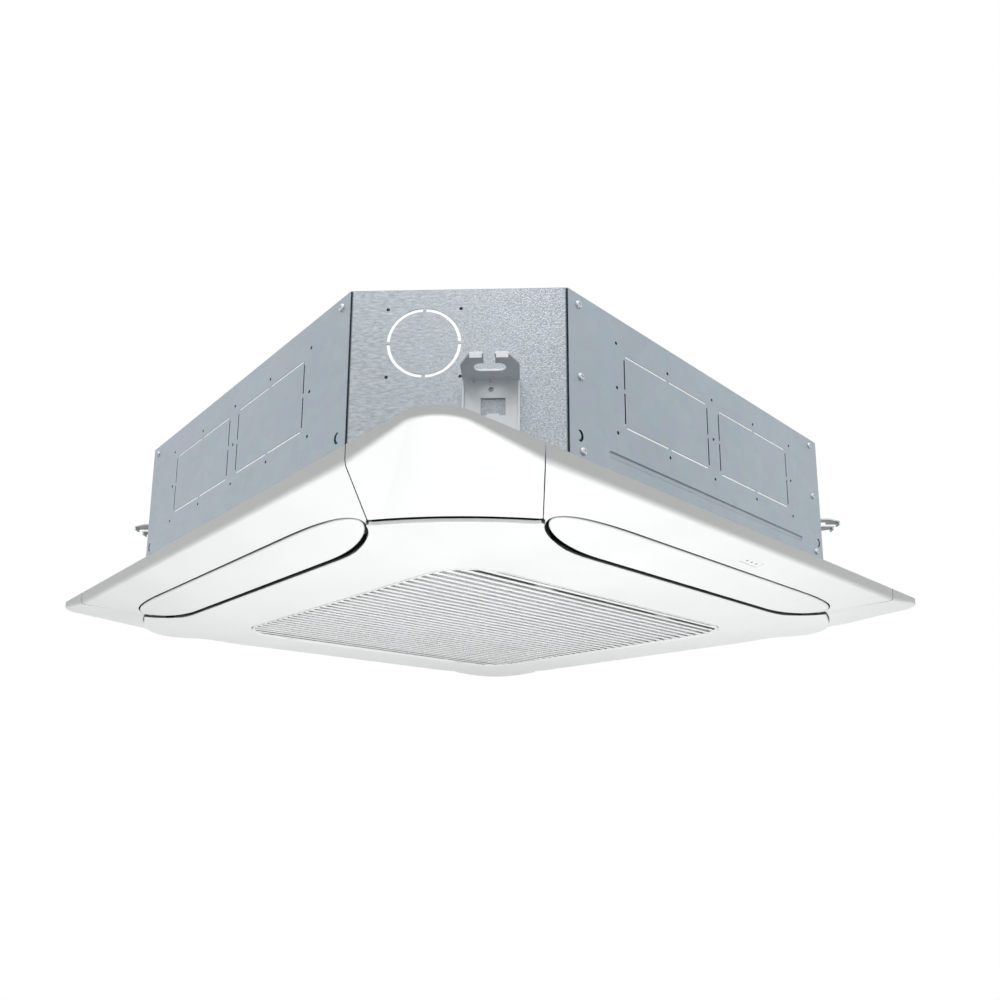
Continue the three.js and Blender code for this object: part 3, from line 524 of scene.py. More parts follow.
def hanger_bracket(side):
    back = -CORNER_OUT - 0.3
    front = back - FLANGE_OUT
    half = BRACKET_HALF
    bracket = block(-half, half, back - PLATE, back, BRACKET_FOOT, FLANGE_Z, "bracket")
    ribs = [block(x, x + PLATE, back - 7, back - PLATE + 0.5, BRACKET_FOOT, FOLD_Z)
            for x in (-half, half - PLATE)]
    outline = [(-half, back), (-half, back - FLANGE_TAPER), (-FINGER_X, front), (FINGER_X, front),
               (half, back - FLANGE_TAPER), (half, back)]
    joined(bracket, prism(outline, FLANGE_Z - PLATE, FLANGE_Z))
    lips = [block(x, x + FINGER_X - FINGER_IN, front, front + PLATE, FOLD_Z, FLANGE_Z - 1)
            for x in (-FINGER_X, FINGER_IN)]
    joined(bracket, *ribs, *lips, *[gusset(x, back) for x in (-17, 0, 17)])
    cut(bracket, block(-MOUTH_HALF, MOUTH_HALF, front - 2, back - FLANGE_TAPER, FLANGE_Z - 12, FLANGE_Z + 2))
    slot = [(x, y + back - 26) for x, y in pill(SLOT_HALF, 7, 7)]
    x0, x1, z0, z1 = STRAP_WINDOW
    rivet_hole = prism(circle(0, 101, 2.6, 16), back - 8, back + 1, "Y")
    window = block(x0, x1, back - 8, back + 1, z0, z1)
    cut(bracket, prism(slot, FOLD_Z, FLANGE_Z + 2), window, rivet_hole)
    x0, x1, z0, z1 = WINDOW_TAB
    joined(bracket, block(x0, x1, back - PLATE, back, z0, z1))
    bracket.data.transform(Matrix.Translation((side * BRACKET_X * MM, 0, 0)))
    return bracket


for quarter, (corner, side) in enumerate(zip(CORNERS, (1, -1, -1, 1))):
    bracket = turned(hanger_bracket(side), 90 * quarter - 45)
    finished(bracket, f"bracket_{corner}", BRIGHT, nodes=[f"hanger_bracket_{corner}"])


# ---- top plate, coil end plates, control box and pipe plate ----
# Plain galvanised sheet, pressed with stiffening beads; the shapes are the frame's own.
def coated(finish, *nodes):
    """Gives nodes of the frame that keep their shape their finish."""
    for node in nodes:
        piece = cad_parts[node]
        for slot in piece.material_slots:
            slot.material = finish


coated(STEEL, "top_plate", "coil_end_plate_a", "coil_end_plate_b", "control_box", "control_box_cover",
       "pipe_plate", "fan_nut", "grille_hinge_pin_left", "grille_hinge_pin_right")


# ---- foam liner and drain pan ----
# White bead foam that fills the casing's walls, and the pan under the coil that catches its water.
def bead_foam():
    finish = Finish("bead_foam")
    bead = finish.cells(320)
    shade = finish.blend(bead, linear(238, 238, 234), linear(205, 206, 203))
    return finish.surface(Base_Color=shade, Roughness=0.85, Normal=finish.bump(1 - bead, 0.6, 0.6 * MM))


coated(bead_foam(), "foam_liner", "drain_pan")

# ---- knockout pads ----
# Foil-faced foam stuck behind the knockouts' slits, so that no air leaks before they are opened.
PAD_IN = 0.35              # how far the foil lies behind a sheet's outer face
PAD_BACK = 2.8
PAD_HALF = 4
PAD_BEYOND = 6             # how far a strip reaches past its knockout
FOIL = sheet_steel("foil", (250, 251, 252), soft=0.2, metallic=0.95)
for quarter, side in enumerate(SIDES):
    flip = -1 if side in ("left", "right") else 1
    spans = [sorted((flip * (x0 - PAD_BEYOND), flip * (x1 + PAD_BEYOND))) for x0, x1 in KNOCKOUTS]
    pads = gathered([block(a, b, -BODY + PAD_IN, -BODY + PAD_BACK, z - PAD_HALF, z + PAD_HALF)
                     for a, b in spans for z in (KNOCKOUT_FOOT, KNOCKOUT_HEAD)])
    finished(turned(pads, 90 * quarter), f"knockout_pads_{side}", FOIL)
disc = circle(KNOCKOUT_X, KNOCKOUT_Z, KNOCKOUT_RADIUS + 5, 40)
pad = prism(disc, -CORNER_OUT + PAD_IN, -CORNER_OUT + PAD_BACK, "Y")
finished(turned(pad, -45), "knockout_pad_near", FOIL)


# ---- panel gasket ----
# A strip of black closed-cell foam, pressed between the casing's foot and the panel.
def cell_foam():
    finish = Finish("cell_foam")
    pore = finish.noise(900, 4)
    shade = finish.blend(pore, linear(30, 32, 34), linear(64, 66, 68))
    return finish.surface(Base_Color=shade, Roughness=0.95, Normal=finish.bump(pore, 0.8, 0.5 * MM))


coated(cell_foam(), "panel_gasket")


# ---- heat exchanger ----
# A bent block of thin aluminium fins on copper tubes, 1.6 mm apart, standing in the drain pan.
def coil_fins():
    finish = Finish("coil_fins")
    fin = finish.axis("X") * 620 + finish.axis("Y") * 620
    # The dark stripes are painted shade in the gaps between the fins; the light ones are the fins' edges.
    edge = (fin % 1) > 0.35
    shade = finish.blend(edge, linear(96, 104, 112), linear(206, 211, 216))
    pleats = finish.bump(edge, 0.5, 0.5 * MM)
    return finish.surface(Base_Color=shade, Metallic=0.7, Roughness=0.4, Normal=pleats)


coated(coil_fins(), "heat_exchanger")


# ---- moulded black and grey parts ----
# Injection mouldings with a fine spark-eroded grain: bell mouth, fan, terminals, pump and vane motors.
# Dark of the window's real indicator lenses, and painted shade in the white panel's ducts, seams and gaps.
DARK_LENS_AND_PAINTED_SHADE = linear(44, 46, 48)


def moulding(name, tone, rough=0.5, grain=0.35, soft=0.5, lens_and_shade=None):
    finish = Finish(name)
    speck = finish.noise(1400, 3)
    cloud = finish.noise(9, 2)
    shade = finish.blend(cloud, shifted(tone, -4), shifted(tone, 4))
    # The mask darkens the colour: real lenses on the window, painted shade on the panel's mouldings.
    if lens_and_shade:
        shade = finish.blend(lens_and_shade(finish), shade, DARK_LENS_AND_PAINTED_SHADE)
    return finish.surface(
        Base_Color=shade,
        Roughness=cloud * 0.12 + (rough - 0.06),
        Normal=finish.bump(speck, grain, 0.06 * MM, finish.soft_edge(soft)),
    )


BLACK_MOULDING = moulding("black_moulding", (44, 47, 51))
FAN_MOULDING = moulding("fan_moulding", (70, 76, 82))
GREY_MOULDING = moulding("grey_moulding", (214, 214, 209))
coated(BLACK_MOULDING, "bell_mouth", "terminal_block")
coated(FAN_MOULDING, "turbo_fan")
coated(GREY_MOULDING, "drain_pump", "float_switch", "drain_outlet", *[f"vane_motor_{side}" for side in SIDES])


# ---- fan motor and shaft ----
# A cast aluminium can and a ground steel shaft, hung from the top plate.
def cast_metal():
    finish = Finish("cast_metal")
    grain = finish.noise(420, 4)
    shade = finish.blend(grain, linear(142, 147, 152), linear(176, 181, 186))
    pitting = finish.bump(grain, 0.4, 0.2 * MM)
    return finish.surface(Base_Color=shade, Metallic=0.85, Roughness=0.42, Normal=pitting)


coated(cast_metal(), "fan_motor", "motor_shaft")


# ---- circuit boards ----
# Green lacquered boards with copper tracks under the lacquer.
def circuit_green():
    finish = Finish("circuit_green")
    track = (finish.axis("X") * 260 % 1 > 0.72).maths("MAXIMUM", finish.axis("Y") * 170 % 1 > 0.8)
    shade = finish.blend(track * finish.cells(34), linear(28, 84, 54), linear(78, 138, 84))
    return finish.surface(Base_Color=shade, Roughness=0.3, Coat_Weight=0.4)


coated(circuit_green(), "circuit_board", "receiver_board")


# ---- pipes and flare nuts ----
# Drawn copper tube with a little tarnish, and machined brass nuts.
def tarnished(name, clean, dull, rough):
    finish = Finish(name)
    stain = finish.noise(38, 4)
    scratch = finish.noise(220, 2, (1, 1, 0.1))
    return finish.surface(
        Base_Color=finish.blend(stain, linear(*clean), linear(*dull)),
        Metallic=0.95,
        Roughness=scratch * 0.2 + rough,
        Normal=finish.bump(scratch, 0.2, 0.1 * MM, finish.soft_edge(0.4)),
    )


coated(tarnished("copper_tube", (214, 138, 98), (160, 92, 66), 0.2), "liquid_pipe", "gas_pipe")
coated(tarnished("brass", (214, 180, 104), (170, 138, 78), 0.24), "liquid_flare_nut", "gas_flare_nut")

# ---- panel frame ----
# The white decoration frame: a moulded shell with a rim that meets the ceiling, a sloping face, four air
# ducts and a seat for the centre panel. It hangs on the casing, with the gasket between.
PANEL = 475
PANEL_ROUND = 38
FACE_IN = 5                # how far inside the rim the sloping face starts
RIM = 17.7
RIM_ROUND = 6.2
SLOPE = 0.245
SKIN = 2.7
FRAME_TOP = -6
SEAM = 117.5
COVER_EDGE = 697
COVER_GAP = 1.1
COVER_EDGE_Z = -32.9
COVER_BOW = 38             # how far the middle of a cover's inner edge bows outwards, along x + y
COVER_SAG = 6.1            # how far the middle of that edge hangs below its ends
ARM_START = 575            # x + y where the centre panel's arms start to bend up
BEND_LINES = (230, 260, 285, 305, 325, 345, 360, 375, 390, 402)   # where its flats are split for that
CENTRE = 372.5
CENTRE_BOTTOM = -44.5
CENTRE_TOP = -36.4
VANE_MID = 402
PIVOT_OUT = 388
PIVOT_Z = -31
PIN_RADIUS = 2
EYE_RADIUS = 3.8
VANE_PROUD = 1.3           # how far a vane stands below the sloping face
VANE_END = 106             # length of a vane's tapered end
TIP_BEND = 9               # how far the vanes' tips lie outside their centre lines
DUCT_THROAT = (262, 22, 40, -377, 0)   # a leaf's half length and width, its ends, its middle and its bend
DUCT_MOUTH = (285, 29.8, 107, -400.7, TIP_BEND)
DUCT_OUT = 431.5           # the painted shade inside a duct lies within these two
DUCT_END = 287
WEB_X = 232
WEB_THICK = 3
WEB_IN = 352               # a web's ends, towards and away from the panel's middle
WEB_OUT = 418
RELIEF = (235.6, 259)      # reach along a vane of the room for its rounded end
RELIEF_RADIUS = 13
RELIEF_LOW = CENTRE_BOTTOM + 4.4
BITE_START = 184           # where along a vane the centre panel's side starts to curve outwards
TIP_TURN = 0.26            # where on its curve the plate's edge leaves the vane's end, in radians
SEAT = 437                 # half width of the place for the casing's foot
SEAT_ROUND = 20
OUTER_RING = 446           # half width inside the ring that the corner covers take the place of
BACK_FLANGE = 436
INTAKE = 330               # half width of the hole above the grille
INTAKE_ROUND = 70
WINDOW_HOLE = (-4, 34, -453, -443)
WHITE_TONE = (243, 244, 244)


def white_shell(name, lens_and_shade):
    """The panel's white, with painted shade where the mask says."""
    return moulding(name, WHITE_TONE, 0.38, 0.18, 0.6, lens_and_shade)


def face_z(out):
    """Height of the panel's sloping face at a distance from its middle."""
    return -RIM - SLOPE * (PANEL - FACE_IN - out)


def rounded(half, radius, steps=16):
    middle = half - radius
    points = []
    for a, b, start in zip((1, -1, -1, 1), (1, 1, -1, -1), (0, 90, 180, 270)):
        points += arc(a * middle, b * middle, radius, start, start + 90, steps)
    return points


def ring(outline, z):
    return [(x, y, z) for x, y in outline]


def rim_rows():
    """The rim's section: how far each row is inset, and its height."""
    turn = arc(0, RIM_ROUND, FACE_IN, 0, -76, 8, RIM_ROUND)
    return [(0, 0), (0, -9)] + [(FACE_IN - x, -RIM - 0.4 + y) for x, y in turn]


def four(make):
    """The same piece at each of the four sides."""
    return [turned(make(), 90 * k) for k in range(4)]


def panel_blank(lift=0, name="tool"):
    rings = [ring(rounded(PANEL - inset, PANEL_ROUND - inset), z + lift) for inset, z in rim_rows()]
    rings.append(ring(rounded(CENTRE, 6), face_z(CENTRE) + lift))
    return loft(name, rings)


def corner_region(grow=0):
    """The corner between two seams, outside the cover's inner edge."""
    side, far = SEAM + grow, 520
    near, aside = (COVER_EDGE + side) / 2, (COVER_EDGE - side) / 2
    return [(near, aside), (far, far - side), (far, far), (far - side, far), (aside, near)]


def chord(share, back=0):
    """A point of a cover's inner edge, from one seam to the other, moved back towards the corner."""
    side = SEAM - COVER_GAP
    edge = COVER_EDGE + COVER_BOW * share * (1 - share) * 4 + back * math.sqrt(2)
    return ((edge + side) / 2 - side * share, (edge - side) / 2 + side * share)


def plan(finish):
    """Distances from the panel's middle lines: the larger and the smaller one, in metres."""
    x, y = [finish.axis(name).maths("ABSOLUTE") for name in "XY"]
    return x.maths("MAXIMUM", y), x.maths("MINIMUM", y)


def frame_painted_shade(finish):
    """Painted shade inside the air ducts, and on the walls under the corner covers."""
    out, along = plan(finish)
    height = finish.axis("Z")
    above_face = height - out * SLOPE > (face_z(0) + 1.1) * MM
    in_duct = above_face * (DUCT_OUT * MM - out > 0) * (DUCT_END * MM - along > 0)
    under_cover = (out + along > (COVER_EDGE + 0.4) * MM) * ((SEAM + 0.15) * MM - out + along > 0)
    return in_duct.maths("MAXIMUM", under_cover)


# Painted shade darkens the frame's ducts and the walls under its covers.
WHITE = white_shell("white_moulding", frame_painted_shade)


def leaf(half_long, half_wide, end, middle, bend):
    """A vane's outline: its tapered ends bend outwards, away from the middle of the panel."""
    points = []
    for x, y in pill(half_long, half_wide, end, middle, 32):
        share = max(0, abs(x) - half_long + end) / end
        points.append((x, y - bend * share * share))
    return points


def duct():
    """The air duct over a vane, which leans outwards on its way down."""
    rows = ((DUCT_THROAT, FRAME_TOP + 2), (DUCT_THROAT, FRAME_TOP), (DUCT_MOUTH, -24), (DUCT_MOUTH, -60))
    return loft("tool", [ring(leaf(*shape), z) for shape, z in rows])


def duct_web(side):
    """A web across one end of a duct, with the eye that holds the vane's pin."""
    eye_in, eye_out = -PIVOT_OUT + EYE_RADIUS, -PIVOT_OUT - EYE_RADIUS
    outline = [(-WEB_IN, FRAME_TOP), (-WEB_IN, -18), (eye_in, -20), (eye_in, PIVOT_Z)]
    outline += arc(-PIVOT_OUT, PIVOT_Z, EYE_RADIUS, 0, -180, 12)[1:-1]
    outline += [(eye_out, PIVOT_Z), (eye_out, -20), (-WEB_OUT, -17), (-WEB_OUT, FRAME_TOP)]
    ends = sorted((side * WEB_X, side * (WEB_X + WEB_THICK)))
    web = prism(outline, *ends, "X")
    pin_hole = circle(-PIVOT_OUT, PIVOT_Z, PIN_RADIUS + 0.3, 16)
    return cut(web, prism(pin_hole, ends[0] - 5, ends[1] + 5, "X"))


def tip_relief(side):
    """Room for a vane's rounded end, which swings up behind the centre panel."""
    room = circle(-PIVOT_OUT, PIVOT_Z, RELIEF_RADIUS, 32)
    clipped = [(y, max(z, RELIEF_LOW)) for y, z in room]
    return prism(clipped, *sorted(side * x for x in RELIEF), "X")


def curve(start, control, end, steps):
    """Points of a parabola that leaves one point and meets the other along lines through the control."""
    points = []
    for i in range(steps + 1):
        t = i / steps
        shares = ((1 - t) * (1 - t), 2 * t * (1 - t), t * t)
        pairs = list(zip(shares, (start, control, end)))
        points.append(tuple(sum(share * point[k] for share, point in pairs) for k in (0, 1)))
    return points


def centre_outline(grow=0, steps=20):
    """The centre panel's edge: it follows the vanes, and its corners end just inside the covers."""
    bite = []
    for i in range(steps + 1):
        turn = math.pi / 2 - (math.pi / 2 - TIP_TURN) * i / steps
        bend = (TIP_BEND + 3) * math.cos(turn) ** 2
        out = CENTRE + grow + (VANE_MID - CENTRE) * (1 - math.sin(turn)) + bend
        bite.append((out, BITE_START + VANE_END * math.cos(turn)))
    edge = [chord(i / 24, -1.2) for i in range(1, 12)]
    edge = [(x + grow, y + grow) for x, y in edge]
    last = bite[-1]
    octant = bite + curve(last, (last[0] + 3, last[1] + 4), edge[0], 6)[1:-1] + edge
    corner = octant + [(y, x) for x, y in reversed(octant)]
    outline = []
    for k in range(4):
        c, s = round(math.cos(k * math.pi / 2)), round(math.sin(k * math.pi / 2))
        outline += [(x * c - y * s, x * s + y * c) for x, y in corner]
    return outline


def lifted(piece):
    """Bends the arms of the centre panel's four corners up to the ends of the covers' inner edges."""
    shape = bmesh.new()
    shape.from_mesh(piece.data)
    for line in BEND_LINES:
        for normal in ((1, 0, 0), (-1, 0, 0), (0, 1, 0), (0, -1, 0)):
            everything = shape.verts[:] + shape.edges[:] + shape.faces[:]
            spot = Vector(normal) * line * MM
            bmesh.ops.bisect_plane(shape, geom=everything, dist=1e-6, plane_co=spot, plane_no=normal)
    for vert in shape.verts:
        x, y = abs(vert.co.x) / MM, abs(vert.co.y) / MM
        far = min(1, max(0, (x + y - ARM_START) / (COVER_EDGE - ARM_START)))
        aside = min(1, abs(x - y) / (SEAM - COVER_GAP))
        vert.co.z += COVER_SAG * far * far * (3 - 2 * far) * aside * aside * MM
    shape.to_mesh(piece.data)
    shape.free()
    return piece


moulded_frame = panel_blank(name="frame")
cut(moulded_frame, prism(rounded(SEAT, SEAT_ROUND), FRAME_TOP, 5))
cut(moulded_frame, *four(lambda: prism(corner_region(), -60, -10)))
outer = cut(prism(rounded(PANEL + 20, PANEL_ROUND), -60, 5), prism(rounded(OUTER_RING, SEAT_ROUND), -70, 10))
keep = gathered(four(lambda: prism(corner_region(), -59, 4)))
cut(moulded_frame, worked(outer, "INTERSECT", keep))
hollow = prism(rounded(PANEL - 3, PANEL_ROUND - 3), -40, 5)
cut(hollow, prism(rounded(BACK_FLANGE, SEAT_ROUND), -50, 10))
worked(hollow, "INTERSECT", panel_blank(SKIN))
cut(hollow, *four(lambda: prism(corner_region(4), -80, 20)))
cut(moulded_frame, hollow)
cut(moulded_frame, prism(rounded(INTAKE, INTAKE_ROUND), -60, 10))
cut(moulded_frame, lifted(prism(centre_outline(0.5), -60, CENTRE_TOP + 0.3)))
cut(moulded_frame, *four(duct))
cut(moulded_frame, block(*WINDOW_HOLE, -60, 0))
cut(moulded_frame, *four(lambda: gathered([tip_relief(-1), tip_relief(1)])))
joined(moulded_frame, *four(lambda: gathered([duct_web(-1), duct_web(1)])))
finished(moulded_frame, "frame_moulding", WHITE, nodes=["panel_frame", "duct_ring"])


# ---- corner covers ----
# Four white caps that clip over the frame's corners; each hides a fixing screw and has its own seams.
COVER_STEPS = 24
CORNER_RISE = 8            # how much shallower the rim is round the corner than at the seams


def cover_painted_shade(finish):
    """Painted shade on the two end walls of a cover, in the seams."""
    out, along = plan(finish)
    return out - along > (SEAM - COVER_GAP - 0.1) * MM


# The cover's white, with painted shade on its end walls.
COVER_WHITE = white_shell("cover_white", cover_painted_shade)


def cover_section(j):
    """One section across a cover, from its rim to its inner edge and back along the inside."""
    side = SEAM - COVER_GAP
    share = (j + 2) / (COVER_STEPS + 4)
    straight = PANEL - PANEL_ROUND

    def at(inset, z):
        half, radius = PANEL - inset, PANEL_ROUND - inset
        if j == -2:
            return (half, half - side, z)
        if j == COVER_STEPS + 2:
            return (half - side, half, z)
        if j in (-1, COVER_STEPS + 1):
            mid = (half - side + straight) / 2
            return (half, mid, z) if j == -1 else (mid, half, z)
        turn = math.pi / 2 * j / COVER_STEPS
        return (straight + radius * math.cos(turn), straight + radius * math.sin(turn), z)

    low = COVER_EDGE_Z - COVER_SAG * share * (1 - share) * 4
    from_seam = min(j + 2, COVER_STEPS + 2 - j, 2)
    rim = 1 - CORNER_RISE / RIM * from_seam / 2
    inside = [(*chord(share), low + SKIN), at(6, (-RIM + SKIN) * rim), at(3.4, (-RIM + 5) * rim), at(SKIN, 0)]
    return [at(inset, z * rim) for inset, z in rim_rows()] + [(*chord(share), low)] + inside


for quarter, corner in enumerate(CORNERS):
    cap = loft("cover", [cover_section(j) for j in range(-2, COVER_STEPS + 3)])
    turned(cap, 90 * quarter - 180)
    finished(cap, f"cover_{corner}", COVER_WHITE, nodes=[f"corner_cover_{corner}"])

# ---- centre panel ----
# The white plate between the vanes, proud of the sloping face, with the intake opening and its hinge lugs.
OPENING = 272.8
OPENING_ROUND = 66
HINGE_X = 180
HINGE_Y = 266
HINGE_Z = -42.3
HINGE_BORE = 1.1
FACE_UP = CENTRE_BOTTOM + 3   # upper side of the plate's face
EDGE_ROUND = 1.3
SIDE_LOW = CENTRE_BOTTOM + EDGE_ROUND
SIDE_HIGH = -40.3          # where the plate's side ends and its rebate starts
SIDE_END = 292             # where the side stops running along a vane
SIDE_FROM = 330            # the side lies further out than this
ARM_RISE = (600, 0.062)    # x + y where the face starts to rise along an arm, and how fast it does
REBATE_RISE = 0.052        # how fast the rebate rises from an arm's middle to its sides


def inset_outline(outline, distance):
    """An outline moved inwards, each point along the mean of its two sides' normals."""
    moved = []
    for i, (x, y) in enumerate(outline):
        before, after = outline[i - 1], outline[(i + 1) % len(outline)]
        first = Vector((x - before[0], y - before[1]))
        second = Vector((after[0] - x, after[1] - y))
        if first.length < 1e-6 or second.length < 1e-6:
            first = second = first + second
        first.normalize()
        second.normalize()
        lean = Vector((-first.y - second.y, first.x + second.x))
        scale = distance / max(1 + first.dot(second), 0.35)
        moved.append((x + lean.x * scale, y + lean.y * scale))
    return moved


def plate_painted_shade(finish):
    """Painted shade on the rebated side of the plate, and on its whole side along the vanes."""
    out, along = plan(finish)
    height = finish.axis("Z")
    start, slope = ARM_RISE
    low_face = (out + along - start * MM) * slope
    beside_vane = (height - low_face.maths("MAXIMUM", 0) > SIDE_LOW * MM) * (SIDE_END * MM - along > 0)
    above_lip = height - (out - along) * REBATE_RISE > (SIDE_HIGH - 0.1) * MM
    return beside_vane.maths("MAXIMUM", above_lip) * (out > SIDE_FROM * MM)


# The plate's white, with painted shade on its rebate and along the vanes.
PLATE_WHITE = white_shell("plate_white", plate_painted_shade)
edge_rows = [(5, CENTRE_TOP), (5, SIDE_HIGH), (0.9, SIDE_HIGH)]
edge_rows += [(0.25, SIDE_HIGH - 0.2), (0, SIDE_HIGH - 0.6), (0, SIDE_LOW)]
edge_rows += [(EDGE_ROUND - x, SIDE_LOW + y) for x, y in arc(0, 0, EDGE_ROUND, -20, -90, 4)]
centre = lifted(loft("centre", [ring(inset_outline(centre_outline(), inset), z) for inset, z in edge_rows]))
mouth_rows = [(0, 0), (0, FACE_UP)] + [(3 * t * t + 0.2 * t, FACE_UP - 3.1 * t) for t in (0.35, 0.7, 1)]
mouth = [ring(rounded(OPENING + grow, OPENING_ROUND + grow, 20), z) for grow, z in mouth_rows]
cut(centre, loft("tool", mouth))
well = prism(rounded(CENTRE - 6, 80), FACE_UP, 0)
cut(centre, cut(well, prism(rounded(OPENING + 4, OPENING_ROUND), -60, 10)))
cut(centre, *four(lambda: gathered([tip_relief(-1), tip_relief(1)])))
lugs = [block(x - 4, x + 4, HINGE_Y - 2.3, OPENING + 2, HINGE_Z - 2.1, HINGE_Z + 2.1)
        for x in (-HINGE_X, HINGE_X)]
joined(centre, *lugs)
cut(centre, prism(circle(HINGE_Y, HINGE_Z, HINGE_BORE, 16), -HINGE_X - 20, HINGE_X + 20, "X"))
finished(centre, "centre_plate", PLATE_WHITE, nodes=["centre_panel"])

# ---- vanes ----
# White mouldings with softly rounded edges, which turn on pins in the duct webs.
VANE_HALF = 26
VANE_LONG = 282
VANE_THICK = 3.6
# A vane's section: how far each row is inset, and its height.
VANE_ROWS = ((3.4, 0), (1.9, 0.12), (0.9, 0.5), (0.25, 1.1), (0, 1.9), (0.3, 2.8), (1.2, VANE_THICK))
ARM_FOOT = 7               # half width of an arm where it meets the vane
ARM_REACH = (WEB_X - 9, WEB_X - 4)
PIN_REACH = (WEB_X - 9.2, WEB_X + WEB_THICK - 0.3)
VANE_WHITE = moulding("vane_white", (244, 245, 245), 0.34, 0.12, 0.4)


def at_both_ends(outline, reach):
    """An outline carried over the same reach at each end of a vane."""
    return [prism(outline, *sorted(side * x for x in reach), "X") for side in (-1, 1)]


def vane():
    lean = math.atan(SLOPE)
    wide = VANE_HALF / math.cos(lean)
    outlines = [(leaf(VANE_LONG - inset, wide - inset, VANE_END, 0, TIP_BEND), z) for inset, z in VANE_ROWS]
    plate = loft("vane", [ring(outline, z) for outline, z in outlines])
    low = face_z(VANE_MID) - VANE_PROUD
    plate.data.transform(Matrix.Translation((0, -VANE_MID * MM, low * MM)) @ Matrix.Rotation(-lean, 4, "X"))

    def core(out):
        return face_z(out) - VANE_PROUD + VANE_THICK / 2

    head = [(-PIVOT_OUT + x, PIVOT_Z + 2.4) for x in (3.4, -3.4)]
    inner, outer = PIVOT_OUT - ARM_FOOT, PIVOT_OUT + ARM_FOOT
    joined(plate, *at_both_ends([(-inner, core(inner)), *head, (-outer, core(outer))], ARM_REACH))
    return joined(plate, *at_both_ends(circle(-PIVOT_OUT, PIVOT_Z, PIN_RADIUS, 16), PIN_REACH))


for quarter, side in enumerate(SIDES):
    blade = turned(vane(), 90 * quarter)
    finished(blade, f"air_vane_{side}", VANE_WHITE, f"{side}_vane", [f"vane_{side}"])

# ---- intake grille ----
# One white moulding: a rounded rim, slats that lean towards the back, and three thin ribs behind them.
SLAT_PITCH = 15
SLAT_COUNT = 36
SLAT_FACE = ((-3.2, 0.7), (-2.9, 0.2), (-2.2, 0), (2.2, 0), (2.9, 0.2), (3.2, 0.7))
SLAT_EDGE = ((5.4, -37.1), (4.9, -36.9))   # a slat's upper edge, which leans to the back
RIB_STEP = 136
RIB_HALF = 1.3
GRILLE_LOW = CENTRE_BOTTOM + 0.3
GRILLE_TOP = -36.2
RIM_STEPS = 20
RIM_BAND = 3.4             # how far the slats' ends lie inside the opening
KNUCKLE_HALF = 11          # a hinge knuckle, and the gap in it for the plate's lug
KNUCKLE_GAP = 4.5


def slat(y, low):
    """One slat: a flat lower face with rounded corners, and a thin upper edge."""
    section = [(y + a, low + b) for a, b in SLAT_FACE] + [(y + a, z) for a, z in SLAT_EDGE]
    return prism(section, -OPENING, OPENING, "X")


def grille_ring(inset):
    return rounded(OPENING - inset, OPENING_ROUND - inset, RIM_STEPS)


grille_rows = [(5, GRILLE_LOW + 1), (2.2, GRILLE_LOW), (1.5, GRILLE_LOW + 0.3), (1.2, GRILLE_LOW + 0.9)]
grille_rows += [(1.2, GRILLE_TOP), (5.8, GRILLE_TOP)]
grille = loft("grille", [ring(grille_ring(inset), z) for inset, z in grille_rows], True)
field = gathered([slat((k - (SLAT_COUNT - 1) / 2) * SLAT_PITCH, GRILLE_LOW + 0.4) for k in range(SLAT_COUNT)])
ribs = [block(x - RIB_HALF, x + RIB_HALF, -OPENING + 4, OPENING - 4, -39, -36.6)
        for x in (-RIB_STEP, 0, RIB_STEP)]
joined(field, *ribs)
worked(field, "INTERSECT", prism(grille_ring(RIM_BAND), -60, 0))
joined(grille, field)
hinges = (-HINGE_X, HINGE_X)
front, back, high = HINGE_Y - 3, HINGE_Y + 3, HINGE_Z + 2.5
joined(grille, *[block(x - KNUCKLE_HALF, x + KNUCKLE_HALF, front, back, GRILLE_LOW, high) for x in hinges])
cut(grille, *[block(x - KNUCKLE_GAP, x + KNUCKLE_GAP, front - 0.5, OPENING, -60, high + 1) for x in hinges])
cut(grille, *[prism(circle(HINGE_Y, HINGE_Z, HINGE_BORE, 16), x - 12, x + 12, "X") for x in hinges])
finished(grille, "slatted_grille", VANE_WHITE, "grille", ["intake_grille"])
coated(VANE_WHITE, "grille_latch_left", "grille_latch_right")

# ---- air filter ----
# A light frame of thin plastic ribs with a woven net across it, which lifts out of the grille.
FILTER_X = 258
FILTER_Y = (-236, 238)
FILTER_Z = (-35.6, -31.4)
FILTER_CELLS = 4
FILTER_RIB = 3
FILTER_GREY = moulding("filter_grey", (242, 243, 244), 0.6)


def net_weave():
    """Threads 1.5 mm apart; the fine net between them lets a little light through."""
    finish = Finish("net_weave")
    across = finish.axis("X") * 660 % 1 > 0.55
    along = finish.axis("Y") * 660 % 1 > 0.55
    thread = across.maths("MAXIMUM", along)
    shade = finish.blend(across, linear(232, 234, 235), linear(246, 247, 248))
    return finish.surface(Base_Color=shade, Roughness=0.7, Alpha=thread * 0.25 + 0.75,
                          Normal=finish.bump(thread, 0.6, 0.3 * MM))


